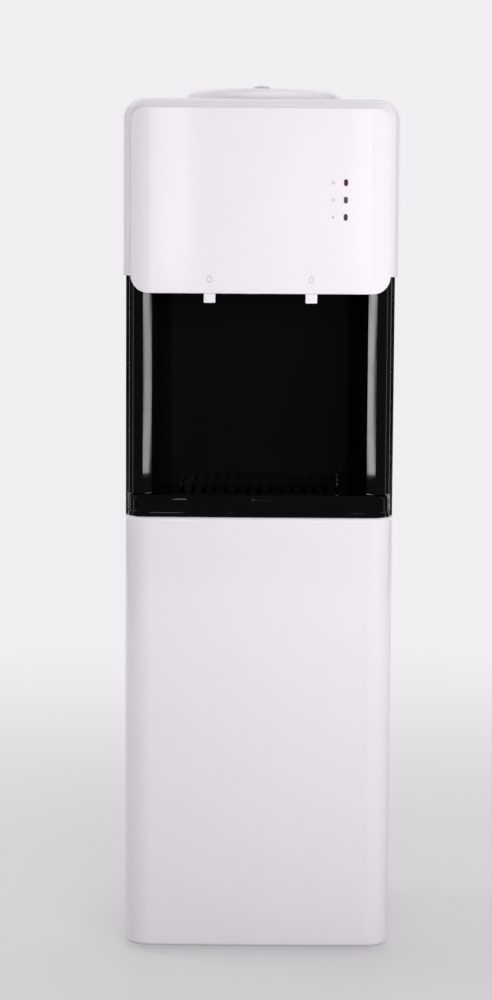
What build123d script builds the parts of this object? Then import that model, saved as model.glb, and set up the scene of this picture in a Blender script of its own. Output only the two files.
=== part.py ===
from build123d import *
import os
from math import sqrt

# Floor-standing hot and cold water dispenser: bottle seat on top, two push taps and a drip tray.
# Millimetres. +Z is up, the front faces -Y and the origin is on the floor under the middle of the box.

# Overall sizes
WIDTH = 310.0  # over the steel side panels
DEPTH = 330.0  # front of the head panel to the back of the condenser
FOOT_HEIGHT = 8.0
LOWER_PANEL_HEIGHT = 505.0
TRAY_HEIGHT = 25.0
BAY_HEIGHT = 231.0  # drip tray rim to the lower edge of the head
HEAD_PANEL_HEIGHT = 210.0
CROWN_HEIGHT = 11.0  # top housing above the head panel
HEAD_OVERHANG = 3.5  # each side of the head outside the side panels
HEAD_SURROUND = 10.0  # strip of the top housing seen beside the head panel
HEAD_PROUD = 4.0  # head panel in front of the lower panel
CONDENSER_DEPTH = 36.0  # rear panel to the back of the condenser

# Walls and clearances
PLASTIC = 2.6  # wall of the moulded covers
STEEL = 1.0  # sheet of the side, rear and shelf panels
SEAM = 1.0  # visible joint between neighbouring covers
SLIDE = 0.5  # clearance of a piece that slides or lifts
SEAT = 0.3  # clearance of a piece that rests on another
RUN = 0.05  # radial clearance of a shaft in its hole

# Front covers
FRONT_BOW = 3.0  # depth of the bow across the front
FRONT_CORNER = 30.0  # plan radius of the front corners
EDGE_ROUND = 4.5  # rounded horizontal edges of the lower panel
RIB = 1.6
RIB_HEIGHT = 7.0
RIB_COUNT = 3
COLUMN_INSET = 3.0  # black columns and tray inside the side panels
COLUMN_SET_BACK = 4.0  # column front behind the lower panel
COLUMN_FACE = 16.0  # width of each black column seen from the front
COLUMN_ROUND = 1.5
COLUMN_BEHIND_HEAD = 22.0  # columns run up behind the rounded corners of the head
MACHINE_DEPTH = 136.0  # back of the bay to the rear panel
MOUTH_FLARE = 12.0  # slanted strip down each side of the bay mouth
MOUTH_DEPTH = 7.5
BAY_DRAFT = 7.0  # each side of the bay narrows this much towards its back
BAY_CORNER = 26.0
CEILING_LIFT = 4.0  # bay ceiling above the lower edge of the head
HEAD_CORNER_LOW = 21.0  # corners of the head panel, seen from the front
HEAD_CORNER_HIGH = 16.0
HEAD_EDGE_ROUND = 1.5
HOUSING_ROUND = 22.0  # rounded top edge of the top housing
HOUSING_SKIRT = 31.0  # height of the skirt over the side panels
HOUSING_LEG = 46.0  # depth of the legs beside the head panel
HOUSING_LAP = 11.0  # head panel over the frame of the housing
TRAY_SET_BACK = 1.0  # tray lip behind the lower panel
TRAY_LIP = 6.0
TRAY_SCOOP = 1.6  # tray face behind its lip
TRAY_ROUND = 6.0
TRAY_RIM = 9.0
TRAY_FLOOR = 2.5
GRILLE = 3.0
GRILLE_SLOT = 5.0
GRILLE_PITCH = 13.0
GRILLE_MARGIN = 14.0
GRILLE_LIFT_HOLE = 10.0

# Cabinet
BASE_HEIGHT = 32.0
BASE_WALL = 3.0
BASE_DECK = 9.0  # raised deck that carries the compressor
BASE_CORNER = 6.0
FOOT_RADIUS = 13.0
FOOT_STEM = 4.0
FOOT_CHAMFER = 2.0
FOOT_BARB = 1.5
FOOT_INSET = 30.0
FLANGE = 12.0  # folded edges of the steel panels
VENT_LENGTH = 84.0
VENT_WIDTH = 5.0
VENT_PITCH = 14.0
VENT_ROWS = 9
VENT_X = 52.0
VENT_Z = 85.0
SCREW_RADIUS = 1.9
SCREW_HEAD = 4.0
SCREW_HEAD_HEIGHT = 2.4
SCREW_LENGTH = 9.0
SCREW_MARGIN = 35.0
SCREW_ROWS = 4

# Bottle seat and cold side
COLLAR_RADIUS = 94.0
COLLAR_HEIGHT = 15.0
COLLAR_ROUND = 8.0
RIM_RADIUS = 70.0
RIM_FLAT = 5.0
FUNNEL_DEPTH = 42.0
NECK_RADIUS = 31.0
NECK_DEPTH = 72.0
SPIGOT_DROP = 6.0
PROBE_RADIUS = 11.0
PROBE_BORE = 8.0
PROBE_RISE = 23.3  # tip above the crown
CUP_FLANGE = 8.0  # rim of the neck cup on the ledge of the seat
PROBE_WINDOW = 5.0
PROBE_WINDOWS = 4
TANK_RADIUS = 80.0
TANK_FLANGE = 10.0
TANK_GAP = 8.0  # least gap between the foam and the taps
TANK_FLOOR_FOAM = 10.0
FOAM_WALL = 19.0
COIL_TUBE = 3.5
COIL_TURNS = 3
COIL_PITCH = 20.0
HOSE_RADIUS = 6.0
HOSE_BORE = 4.0
LID = 5.0
BAFFLE_GAP = 5.0  # water passage round the separator plate

# Taps
TAP_X = 58.0
NOZZLE_SET_BACK = 35.0  # nozzle axis behind the front of the head panel
NOZZLE_RADIUS = 7.0
NOZZLE_BORE = 4.5
NOZZLE_DROP = 5.0  # nozzle tip below the head
TAP_RADIUS = 12.0
TAP_BORE = 9.0
TAP_HEIGHT = 30.0
TAP_FLANGE_RADIUS = 16.0
TAP_FLOOR = 3.0
INLET_HEIGHT = 21.0
BARB_LENGTH = 8.0
BONNET_RADIUS = 13.0
BONNET_HEIGHT = 7.0
STEM_RADIUS = 2.5
STEM_COLLAR_RADIUS = 6.0
STEM_COLLAR = 3.0
SEAL_RADIUS = 7.0
SEAL_HEIGHT = 3.6
SPRING_RADIUS = 6.0
SPRING_WIRE = 1.4
SPRING_TURNS = 4
PIVOT_RISE = 12.5  # pivot above the bonnet
PIVOT_SET_BACK = 13.0
PIN_RADIUS = 1.5
PIN_LENGTH = 22.0
HUB_RADIUS = 4.5
LEVER_HALF = 6.0
LEVER = 3.0
LEVER_GAP = 1.1  # lever behind the wall of the head panel
TAB_WIDTH = 13.5
TAB_DROP = 10.5  # tab below the lower edge of the head
TAB_RISE = 8.0
LEVER_SLOT_GAP = 1.2
FINGER_RADIUS = 5.0
TINE_GAP = 3.2
EAR = 3.0

# Indicators
LAMP_X = 96.0
LAMP_HIGH = 84.0  # top lamp below the top of the head panel
LAMP_PITCH = 19.5
LAMP_WIDTH = 4.0
LAMP_HEIGHT = 7.0
LAMP_PROUD = 0.4
LAMP_DEPTH = 6.0
BOARD = 1.6

# Hot side
HOT_SET_IN = 67.0  # hot tank axis in front of the rear panel
HOT_RADIUS = 46.0
HOT_HANG = 36.2  # hot tank below the tank shelf
HOT_HEIGHT = 140.0
HOT_DOME = 16.0
HEATER = 4.0
HEATER_HEIGHT = 46.0
HOSE_BEND = 22.0
HOSE_GAP = 4.0  # hoses to what they run beside
FEED_INSET = 35.0  # feed pipe inside the wall of the cold tank
FEED_BEND = 20.0
FEED_SAG = 42.0  # feed hose below the hot tank
DRAIN_RADIUS = 7.0
DRAIN_BORE = 4.5
DRAIN_HEIGHT = 20.0
DRAIN_REACH = 18.0
CAP_RADIUS = 10.5
CAP_LENGTH = 15.0
CAP_RIBS = 12
THERMOSTAT_TURNS = (-60, -120)  # degrees round the hot tank

# Cooling machine
COMPRESSOR_SET_IN = 94.0  # compressor axis in front of the rear panel
COMPRESSOR_RADIUS = 60.0
COMPRESSOR_HEIGHT = 140.0
COMPRESSOR_PLATE = 3.0
COMPRESSOR_DOME = 33.0
COMPRESSOR_FOOT_ROUND = 21.0
WELD_SEAM = 2.0
COMPRESSOR_FOOT_X = 62.0
COMPRESSOR_FOOT_Y = 46.0
GROMMET_RADIUS = 9.0
GROMMET_HEIGHT = 12.0
BOLT_RADIUS = 3.0
LINE_RADIUS = 3.5
LINE_BEND = 12.0
COIL_RISE = 62.0
DRIER_RADIUS = 9.0
DRIER_LENGTH = 80.0
CAPILLARY = 1.6
CONDENSER_TUBE = 2.4
CONDENSER_LOW = 78.0
CONDENSER_HIGH = 545.0
CONDENSER_ROWS = 13
CONDENSER_WIRE = 0.75
CONDENSER_WIRES = 18
CONDENSER_WIRE_MARGIN = 7.5  # last wire to the bracket
BRACKET_INSET = 8.0  # bracket inside the end of the tube runs
BRACKET_WIDTH = 9.0
BRACKET_HEIGHT = 12.0

# Rear switches and cord gland
SWITCH_INSET = 42.0  # first switch inside the side panel
SWITCH_PITCH = 30.0
SWITCH_DROP = 88.0  # switches below the top of the rear panel
SWITCH_FLANGE = (15.0, 21.0)
SWITCH_BODY = (12.9, 19.0)
SWITCH_DEPTH = 20.0
SWITCH_RIM = 2.0
ROCKER_RADIUS = 7.8
ROCKER_WIDTH = 10.0
ROCKER_ANGLE = 11.0
ROCKER_RISE = 1.4
GLAND_INSET = 26.0  # gland inside the side panel
GLAND_RISE = 18.0  # gland above the base
GLAND_RADIUS = 9.0
GLAND_BORE = 3.6

# Levels
BASE_Z = FOOT_HEIGHT
BASE_TOP = BASE_Z + BASE_HEIGHT
FLOOR_TOP = BASE_Z + BASE_WALL
DECK_TOP = FLOOR_TOP + BASE_DECK
LOWER_TOP = BASE_Z + LOWER_PANEL_HEIGHT
TRAY_Z = LOWER_TOP + SEAT
TRAY_TOP = TRAY_Z + TRAY_HEIGHT
COLUMN_LOW = TRAY_TOP + SEAM
HEAD_Z = TRAY_TOP + BAY_HEIGHT
HEAD_TOP = HEAD_Z + HEAD_PANEL_HEIGHT
LIP_TOP = HEAD_Z + PLASTIC
CROWN_Z = HEAD_TOP + CROWN_HEIGHT
SKIRT_Z = CROWN_Z - HOUSING_SKIRT
PANEL_TOP = CROWN_Z - HOUSING_ROUND - SEAT
COLUMN_TOP = HEAD_Z + COLUMN_BEHIND_HEAD
LEG_Z = COLUMN_TOP - 2 * SEAM
CEILING_Z = HEAD_Z + CEILING_LIFT
CEILING_TOP = CEILING_Z + PLASTIC
SHELF_Z = CEILING_TOP + SEAT
SHELF_TOP = SHELF_Z + STEEL
FOAM_Z = SHELF_TOP + SEAT
TANK_Z = FOAM_Z + TANK_FLOOR_FOAM + SEAT
NECK_Z = CROWN_Z - NECK_DEPTH
LEDGE_Z = CROWN_Z - FUNNEL_DEPTH
TANK_TOP = NECK_Z + 2 * LID
REAR_LOW = BASE_TOP + SEAM
TAP_Z = CEILING_TOP + SEAT
VALVE_SEAT_Z = TAP_Z + TAP_FLOOR + SEAM
INLET_Z = TAP_Z + INLET_HEIGHT
BONNET_Z = TAP_Z + TAP_HEIGHT
BONNET_TOP = BONNET_Z + BONNET_HEIGHT
SEAL_TOP = VALVE_SEAT_Z + RUN + SEAL_HEIGHT
PIVOT_Z = BONNET_TOP + PIVOT_RISE
LEVER_LOW = HEAD_Z - TAB_DROP
HOT_LOW = SHELF_Z - HOT_HANG - HOT_HEIGHT
HOT_OUTLET_Z = HOT_LOW + HOT_HEIGHT - HOT_DOME - HOSE_RADIUS
DRAIN_Z = HOT_LOW + DRAIN_HEIGHT
PLATE_Z = DECK_TOP + GROMMET_HEIGHT / 2
SUCTION_Z = PLATE_Z + COMPRESSOR_HEIGHT / 2
COIL_Z = TANK_Z + COIL_RISE
SWITCH_Z = PANEL_TOP - SWITCH_DROP
GLAND_Z = BASE_TOP + GLAND_RISE

# Planes from front to back and side to side
HALF_WIDTH = WIDTH / 2
HEAD_HALF = HALF_WIDTH + HEAD_OVERHANG
HEAD_PANEL_WIDTH = 2 * (HEAD_HALF - HEAD_SURROUND)
PANEL_HALF = HEAD_HALF + PLASTIC + SEAT
COLUMN_HALF = HALF_WIDTH - COLUMN_INSET
COLUMN_CORNER = FRONT_CORNER - COLUMN_INSET
BAY_HALF = COLUMN_HALF - COLUMN_FACE
THROAT_HALF = BAY_HALF - MOUTH_FLARE
SIDE_INNER_X = HALF_WIDTH - STEEL
BASE_HALF = SIDE_INNER_X - SEAT
FRONT_Y = -DEPTH / 2
LOWER_FRONT_Y = FRONT_Y + HEAD_PROUD
TRAY_FRONT_Y = LOWER_FRONT_Y + TRAY_SET_BACK
COLUMN_FRONT_Y = LOWER_FRONT_Y + COLUMN_SET_BACK
HOUSING_FRONT_Y = FRONT_Y + PLASTIC + SEAT
HOUSING_CORNER = FRONT_CORNER + HEAD_PROUD
WRAP_Y = COLUMN_FRONT_Y + FRONT_BOW + FRONT_CORNER
SIDE_FRONT_Y = WRAP_Y + SEAT
REAR_Y = DEPTH / 2 - CONDENSER_DEPTH
BAY_BACK_Y = REAR_Y - MACHINE_DEPTH
MOUTH_Y = COLUMN_FRONT_Y + FRONT_BOW
THROAT_Y = MOUTH_Y + MOUTH_DEPTH
REAR_INNER_Y = REAR_Y - STEEL
HOUSING_BACK_Y = REAR_Y + SEAT + PLASTIC
NOZZLE_Y = FRONT_Y + NOZZLE_SET_BACK
COIL_SPACE = TANK_RADIUS + COIL_TUBE + 3 * SLIDE
FOAM_RADIUS = COIL_SPACE + FOAM_WALL
TAP_TO_TANK = TAP_FLANGE_RADIUS + TANK_GAP + sqrt(FOAM_RADIUS**2 - TAP_X**2)
BOTTLE_Y = max((HOUSING_FRONT_Y + REAR_Y) / 2, NOZZLE_Y + TAP_TO_TANK)
BAFFLE_RADIUS = TANK_RADIUS - STEEL - BAFFLE_GAP
PIVOT_Y = FRONT_Y + PIVOT_SET_BACK
LEVER_Y = FRONT_Y + PLASTIC + LEVER_GAP
SHELF_FRONT_Y = BOTTLE_Y - FOAM_RADIUS + FLANGE
COLD_SPIGOT_Y = NOZZLE_Y + TAP_RADIUS + BARB_LENGTH + SEAM
HOT_Y = REAR_Y - HOT_SET_IN
FEED_X = TANK_RADIUS - FEED_INSET
FEED_Y = BAY_BACK_Y + PLASTIC + HOSE_RADIUS + HOSE_GAP
COMPRESSOR_Y = REAR_Y - COMPRESSOR_SET_IN
SUCTION_X = -FOAM_RADIUS - LINE_RADIUS - HOSE_GAP
HOT_HOSE_X = SUCTION_X - LINE_RADIUS - HOSE_RADIUS - HOSE_GAP
CONDENSER_HALF = -SUCTION_X
CONDENSER_Y = DEPTH / 2 - CONDENSER_TUBE - 2 * CONDENSER_WIRE - RUN
CONDENSER_PITCH = (CONDENSER_HIGH - CONDENSER_LOW) / (CONDENSER_ROWS - 1)
BRACKET_X = CONDENSER_HALF - BRACKET_INSET
WIRE_SPREAD = 2 * (BRACKET_X - BRACKET_WIDTH / 2 - CONDENSER_WIRE_MARGIN)
WIRE_PITCH = WIRE_SPREAD / (CONDENSER_WIRES - 1)
DISCHARGE_X = (CONDENSER_WIRES / 2 - 1) * WIRE_PITCH
GLAND_X = GLAND_INSET - SIDE_INNER_X
SWITCH_X = [SWITCH_INSET - SIDE_INNER_X + step * SWITCH_PITCH for step in range(2)]
FOOT_X = HALF_WIDTH - FOOT_INSET
FOOT_PLACES = [(x, y) for x in (-FOOT_X, FOOT_X) for y in (WRAP_Y + FOOT_INSET, REAR_Y - FOOT_INSET)]
BOLT_PLACES = [
    (x, COMPRESSOR_Y + y)
    for x in (-COMPRESSOR_FOOT_X, COMPRESSOR_FOOT_X)
    for y in (-COMPRESSOR_FOOT_Y, COMPRESSOR_FOOT_Y)
]
SCREW_X = SIDE_INNER_X - FLANGE / 2
SCREW_STEP = (PANEL_TOP - REAR_LOW - 2 * SCREW_MARGIN) / (SCREW_ROWS - 1)
BRACKET_PLACES = [
    (x, z, step)
    for x in (-BRACKET_X, BRACKET_X)
    for z, step in ((CONDENSER_HIGH, 1), (CONDENSER_LOW, -1))
]
BRACKET_SCREWS = [(x, z + step * BRACKET_HEIGHT) for x, z, step in BRACKET_PLACES]
SCREW_PLACES = [
    (x, REAR_LOW + SCREW_MARGIN + row * SCREW_STEP)
    for x in (-SCREW_X, SCREW_X)
    for row in range(SCREW_ROWS)
]

os.makedirs("parts", exist_ok=True)


def slab(x, y, z):
    """Box from three (low, high) ranges."""
    size = [high - low for low, high in (x, y, z)]
    middle = [(low + high) / 2 for low, high in (x, y, z)]
    return Pos(*middle) * Box(*size)


def rod(start, end, radius):
    """Round bar between two points."""
    line = Vector(*end) - Vector(*start)
    return Part() + Solid.make_cylinder(radius, line.length, Plane(start, z_dir=line))


def turned(profile, x=0.0, y=0.0):
    """Solid of revolution about a vertical axis from (radius, height) points."""
    face = make_face(Plane.XZ * Polyline(*profile, close=True))
    return Pos(x, y, 0) * revolve(face, Axis.Z)


def pipe(points, radius, bend, bore=0.0):
    """Round tube along straight runs joined by arcs."""
    path = FilletPolyline(*points, radius=bend)
    start = Plane(path @ 0, z_dir=path % 0)
    tube = sweep(start * Circle(radius), path=path)
    if bore:
        tube -= sweep(start * Circle(bore), path=path)
    return tube


def front_plan(half_width, front_y, back_y, corner):
    """Plan of a front cover: bowed front, rounded front corners and straight sides."""
    shoulder = front_y + FRONT_BOW
    outline = Polyline(
        (half_width, shoulder), (half_width, back_y), (-half_width, back_y), (-half_width, shoulder)
    )
    bow = ThreePointArc((-half_width, shoulder), (0, front_y), (half_width, shoulder))
    plan = make_face(outline + bow)
    return fillet(plan.vertices().sort_by(Axis.Y)[:2], corner)


def front_block(half_width, front_y, back_y, corner, low, high):
    """Solid of a front plan between two levels."""
    return Pos(0, 0, low) * extrude(front_plan(half_width, front_y, back_y, corner), high - low)


def bow_recess(x):
    """How far the bowed head panel lies behind its middle at x."""
    radius = (PANEL_HALF**2 + FRONT_BOW**2) / (2 * FRONT_BOW)
    return radius - sqrt(radius**2 - x**2)


def rim_edges(block, level, back_y):
    """Edges round the front and sides of a block at one level."""
    found = block.edges().filter_by_position(Axis.Z, level - RUN, level + RUN)
    return found.filter_by(lambda edge: edge.center().Y < back_y - RUN)


def bay_space(low, high, grow=0.0):
    """Dispensing bay: flared mouth, sides that close in towards a back with rounded corners."""
    front = BAY_HALF + FRONT_CORNER * MOUTH_FLARE / MOUTH_DEPTH
    back = THROAT_HALF - BAY_DRAFT
    right = [(back, BAY_BACK_Y), (THROAT_HALF, THROAT_Y), (front, MOUTH_Y - FRONT_CORNER)]
    left = [(-x, y) for x, y in reversed(right)]
    plan = make_face(Polyline(*right, *left, close=True))
    if grow:
        plan = offset(plan, grow, kind=Kind.INTERSECTION)
    plan = fillet(plan.vertices().sort_by(Axis.Y)[-2:], BAY_CORNER + grow)
    return Pos(0, 0, low) * extrude(plan, high - low)


def upright_face(width, low, high, corner_low, corner_high):
    """Front-view rectangle with its own radius for the lower and upper corners."""
    face = Plane.XZ * (Pos(0, (low + high) / 2) * Rectangle(width, high - low))
    corners = face.vertices().sort_by(Axis.Z)
    face = fillet(corners[:2], corner_low)
    corners = [v for v in face.vertices() if v.Z > high - RUN]
    return fillet(corners, corner_high)


def save(name, *shapes):
    """Write one node, each shape of it a separate solid."""
    solids = [solid for shape in shapes for solid in shape.solids()]
    export_step(solids[0] if len(solids) == 1 else Compound(children=solids), f"parts/{name}.step")


def make_base():
    """Moulded pan with a deck for the compressor and holes for the feet."""
    pan = slab((-BASE_HALF, BASE_HALF), (WRAP_Y + SEAM, REAR_INNER_Y - SEAT), (BASE_Z, BASE_TOP))
    pan = fillet(pan.edges().filter_by(Axis.Z), BASE_CORNER)
    hollow = slab(
        (-BASE_HALF + BASE_WALL, BASE_HALF - BASE_WALL),
        (WRAP_Y + SEAM + BASE_WALL, REAR_INNER_Y - SEAT - BASE_WALL),
        (FLOOR_TOP, BASE_TOP + SEAM),
    )
    hollow = fillet(hollow.edges().filter_by(Axis.Z), BASE_CORNER - BASE_WALL)
    deck = slab(
        (-COMPRESSOR_FOOT_X - FLANGE, COMPRESSOR_FOOT_X + FLANGE),
        (COMPRESSOR_Y - COMPRESSOR_FOOT_Y - FLANGE, COMPRESSOR_Y + COMPRESSOR_FOOT_Y + FLANGE),
        (FLOOR_TOP, DECK_TOP),
    )
    base = pan - hollow + fillet(deck.edges().filter_by(Axis.Z), BASE_CORNER)
    for x, y in FOOT_PLACES:
        base -= rod((x, y, BASE_Z - SEAM), (x, y, DECK_TOP), FOOT_STEM + RUN)
    for x, y in BOLT_PLACES:
        base -= rod((x, y, BASE_Z - SEAM), (x, y, DECK_TOP + SEAM), BOLT_RADIUS + RUN)
    return base


def make_foot(x, y):
    """Rubber foot with a barbed stem pushed up through the base."""
    profile = [
        (0, 0),
        (FOOT_RADIUS - FOOT_CHAMFER, 0),
        (FOOT_RADIUS, FOOT_CHAMFER),
        (FOOT_RADIUS - SEAM, FOOT_HEIGHT),
        (FOOT_STEM, FOOT_HEIGHT),
        (FOOT_STEM, FLOOR_TOP + RUN),
        (FOOT_STEM + FOOT_BARB, FLOOR_TOP + RUN),
        (FOOT_STEM - FOOT_BARB, FLOOR_TOP + FOOT_STEM),
        (0, FLOOR_TOP + FOOT_STEM),
    ]
    return turned(profile, x, y)


def make_side(side):
    """Steel side panel folded inwards along its front and back edges."""
    inner = side * SIDE_INNER_X
    fold = side * (SIDE_INNER_X - FLANGE)
    sheet = slab(sorted((side * HALF_WIDTH, inner)), (SIDE_FRONT_Y, REAR_INNER_Y), (BASE_Z, PANEL_TOP))
    front = slab(sorted((inner, fold)), (SIDE_FRONT_Y, SIDE_FRONT_Y + STEEL), (BASE_TOP, LEG_Z))
    back = slab(sorted((inner, fold)), (REAR_INNER_Y - STEEL, REAR_INNER_Y), (REAR_LOW, PANEL_TOP))
    panel = sheet + front + back
    outer = panel.edges().filter_by(Axis.Z).group_by(Axis.X)[-1 if side > 0 else 0]
    panel = fillet(outer, STEEL * 0.7)
    for x, z in SCREW_PLACES:
        panel -= rod((x, REAR_INNER_Y - FLANGE, z), (x, REAR_Y, z), SCREW_RADIUS)
    return panel


def make_rear():
    """Steel rear panel with vents at the compressor and cut-outs for what passes through it."""
    panel = slab((-BASE_HALF, BASE_HALF), (REAR_INNER_Y, REAR_Y), (REAR_LOW, PANEL_TOP))
    vent = extrude(Plane.XZ * SlotOverall(VENT_LENGTH, VENT_WIDTH), 2 * STEEL, both=True)
    for x in (-VENT_X, VENT_X):
        for row in range(VENT_ROWS):
            panel -= Pos(x, REAR_Y, VENT_Z + row * VENT_PITCH) * vent
    holes = [(x, z, SCREW_RADIUS) for x, z in SCREW_PLACES]
    holes += [(x, z, SCREW_RADIUS) for x, z in BRACKET_SCREWS]
    holes += [
        (0, DRAIN_Z, DRAIN_RADIUS + SEAM),
        (GLAND_X, GLAND_Z, GLAND_RADIUS - SEAM),
        (SUCTION_X, CONDENSER_LOW, LINE_RADIUS + 2 * SEAM),
        (DISCHARGE_X, discharge_level(), LINE_RADIUS + 2 * SEAM),
    ]
    for x, z, radius in holes:
        panel -= rod((x, REAR_INNER_Y - STEEL, z), (x, REAR_Y + STEEL, z), radius)
    for x in SWITCH_X:
        panel -= Pos(x, REAR_Y, SWITCH_Z) * Box(SWITCH_BODY[0] + SEAT, 4 * STEEL, SWITCH_BODY[1] + SEAT)
    return panel


def discharge_level():
    """Height at which the discharge pipe passes the rear panel."""
    return CONDENSER_HIGH + 2 * LINE_BEND


def rear_screw(x, y, z):
    """Pan-head screw with a cross recess, driven forwards through a face at y."""
    top = SCREW_HEAD_HEIGHT
    head = turned([(0, 0), (SCREW_HEAD, 0), (SCREW_HEAD * 0.8, top), (0, top)])
    cross = Box(SCREW_HEAD, SCREW_HEAD / 5, top) + Box(SCREW_HEAD / 5, SCREW_HEAD, top)
    shank = rod((0, 0, -SCREW_LENGTH), (0, 0, top / 4), SCREW_RADIUS - RUN)
    return Pos(x, y, z) * Rot(-90, 0, 0) * (head + shank - Pos(0, 0, top) * cross)


def make_lower_front():
    """Plain moulded lower front with rounded edges, returns at top and bottom and stiffening ribs."""
    outer = front_block(HALF_WIDTH, LOWER_FRONT_Y, WRAP_Y, FRONT_CORNER, BASE_Z, LOWER_TOP)
    outer = fillet(rim_edges(outer, LOWER_TOP, WRAP_Y) + rim_edges(outer, BASE_Z, WRAP_Y), EDGE_ROUND)
    hollow = front_block(
        HALF_WIDTH - PLASTIC,
        LOWER_FRONT_Y + PLASTIC,
        WRAP_Y + SEAM,
        FRONT_CORNER - PLASTIC,
        BASE_Z + PLASTIC,
        LOWER_TOP - PLASTIC,
    )
    inset = PLASTIC + RIB_HEIGHT
    core = (HALF_WIDTH - inset, LOWER_FRONT_Y + inset, WRAP_Y + SEAM, FRONT_CORNER - inset)
    for step in range(1, RIB_COUNT + 1):
        level = BASE_Z + step * LOWER_PANEL_HEIGHT / (RIB_COUNT + 1)
        band = slab((-WIDTH, WIDTH), (-DEPTH, WRAP_Y), (level - RIB / 2, level + RIB / 2))
        hollow -= band - front_block(*core, level - RIB, level + RIB)
    return outer - hollow


def make_liner():
    """Black bay liner: two columns, drafted bay with a floor and ceiling, lintel behind the head."""
    wrap = front_block(COLUMN_HALF, COLUMN_FRONT_Y, WRAP_Y, COLUMN_CORNER, COLUMN_LOW, COLUMN_TOP)
    inside = front_block(
        COLUMN_HALF - PLASTIC,
        COLUMN_FRONT_Y + PLASTIC,
        WRAP_Y + SEAM,
        COLUMN_CORNER - PLASTIC,
        COLUMN_LOW + PLASTIC,
        COLUMN_TOP + SEAM,
    )
    pocket = bay_space(LOWER_TOP - PLASTIC, CEILING_TOP, PLASTIC)
    pocket -= slab((-WIDTH, WIDTH), (-DEPTH, WRAP_Y), (0, COLUMN_LOW))
    pocket &= front_block(COLUMN_HALF, COLUMN_FRONT_Y, REAR_Y, COLUMN_CORNER, 0, CROWN_Z)
    liner = wrap - inside + pocket - bay_space(LOWER_TOP, CEILING_Z)
    upright = liner.edges().filter_by(Axis.Z).filter_by(lambda edge: edge.length > BAY_HEIGHT / 2)
    liner = fillet(upright.sort_by(Axis.Y)[:2], COLUMN_ROUND)
    slot = TAB_WIDTH / 2 + LEVER_SLOT_GAP
    low = CEILING_Z - SEAM
    for x in (-TAP_X, TAP_X):
        liner -= slab((x - slot, x + slot), (-DEPTH, PIVOT_Y + HUB_RADIUS), (low, COLUMN_TOP + SEAM))
        liner -= rod((x, NOZZLE_Y, low), (x, NOZZLE_Y, CEILING_TOP + SEAM), NOZZLE_RADIUS + SLIDE)
    return liner


def make_head_panel():
    """Bowed head panel with rounded corners, a lower lip slotted for the levers and lamp windows."""
    face = upright_face(HEAD_PANEL_WIDTH, HEAD_Z, HEAD_TOP, HEAD_CORNER_LOW, HEAD_CORNER_HIGH)
    inner_face = upright_face(
        HEAD_PANEL_WIDTH - 2 * PLASTIC,
        LIP_TOP,
        HEAD_TOP + HEAD_PANEL_HEIGHT,
        HEAD_CORNER_LOW - PLASTIC,
        HEAD_CORNER_HIGH,
    )
    prism = extrude(face, DEPTH)
    outer = front_block(PANEL_HALF, FRONT_Y, WRAP_Y, HOUSING_CORNER + PLASTIC + SEAT, HEAD_Z - SEAM, HEAD_TOP)
    back = front_block(HEAD_HALF + SEAT, FRONT_Y + PLASTIC, WRAP_Y + SEAM, HOUSING_CORNER + SEAT, 0, CROWN_Z)
    column = front_block(
        COLUMN_HALF + SLIDE, COLUMN_FRONT_Y - SLIDE, WRAP_Y + SEAM, COLUMN_CORNER + SLIDE, 0, CROWN_Z
    )
    sheet = outer & prism
    sheet = fillet(front_rim(sheet), HEAD_EDGE_ROUND)
    lip = (back & prism) - extrude(inner_face, DEPTH) - column
    lip &= slab((-WIDTH, WIDTH), (-DEPTH, DEPTH), (0, LEG_Z - SEAM))
    slot = TAB_WIDTH / 2 + LEVER_SLOT_GAP
    for x in (-TAP_X, TAP_X):
        lip -= slab((x - slot, x + slot), (-DEPTH, WRAP_Y), (0, LIP_TOP + SEAM))
    panel = sheet - back + lip
    window = SlotOverall(LAMP_HEIGHT + 2 * SEAT, LAMP_WIDTH + 2 * SEAT, rotation=90)
    for z in lamp_levels():
        panel -= Pos(LAMP_X, 0, z) * extrude(Plane.XZ * window, DEPTH)
    return panel


def front_rim(sheet):
    """Edges of the front surface of the head panel block."""
    return ShapeList(
        edge for edge in sheet.edges() if edge.center().Y < FRONT_Y + HOUSING_CORNER / 2
    )


def lamp_levels():
    """Heights of the three indicator lamps, top one first."""
    return [HEAD_TOP - LAMP_HIGH - row * LAMP_PITCH for row in range(3)]


def housing_block(inset, low):
    """Top housing block with its rounded top edge, shrunk by inset."""
    top = CROWN_Z - inset
    back_y = HOUSING_BACK_Y - inset
    block = front_block(
        HEAD_HALF - inset, HOUSING_FRONT_Y + inset, back_y, HOUSING_CORNER - inset, low, top
    )
    return fillet(rim_edges(block, top, back_y), HOUSING_ROUND - inset)


def make_housing():
    """Top housing: rounded cap over the cabinet with two front legs and a hole for the bottle seat."""
    housing = housing_block(0, LEG_Z) - housing_block(PLASTIC, LEG_Z - SEAM)
    leg_back = HOUSING_FRONT_Y + HOUSING_LEG
    housing -= slab((-WIDTH, WIDTH), (leg_back, DEPTH), (LEG_Z - SEAM, SKIRT_Z))
    opening = upright_face(
        HEAD_PANEL_WIDTH - 2 * HOUSING_LAP, BASE_Z, HEAD_TOP - HOUSING_LAP, HEAD_CORNER_LOW, HEAD_CORNER_HIGH
    )
    housing -= Pos(0, leg_back, 0) * extrude(opening, DEPTH)
    housing -= rod((0, BOTTLE_Y, SKIRT_Z), (0, BOTTLE_Y, CROWN_Z + SEAM), collar_spigot() + SLIDE)
    return housing


def collar_spigot():
    """Radius of the ring under the bottle seat that drops into the housing."""
    return COLLAR_RADIUS - 2 * PLASTIC


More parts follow.
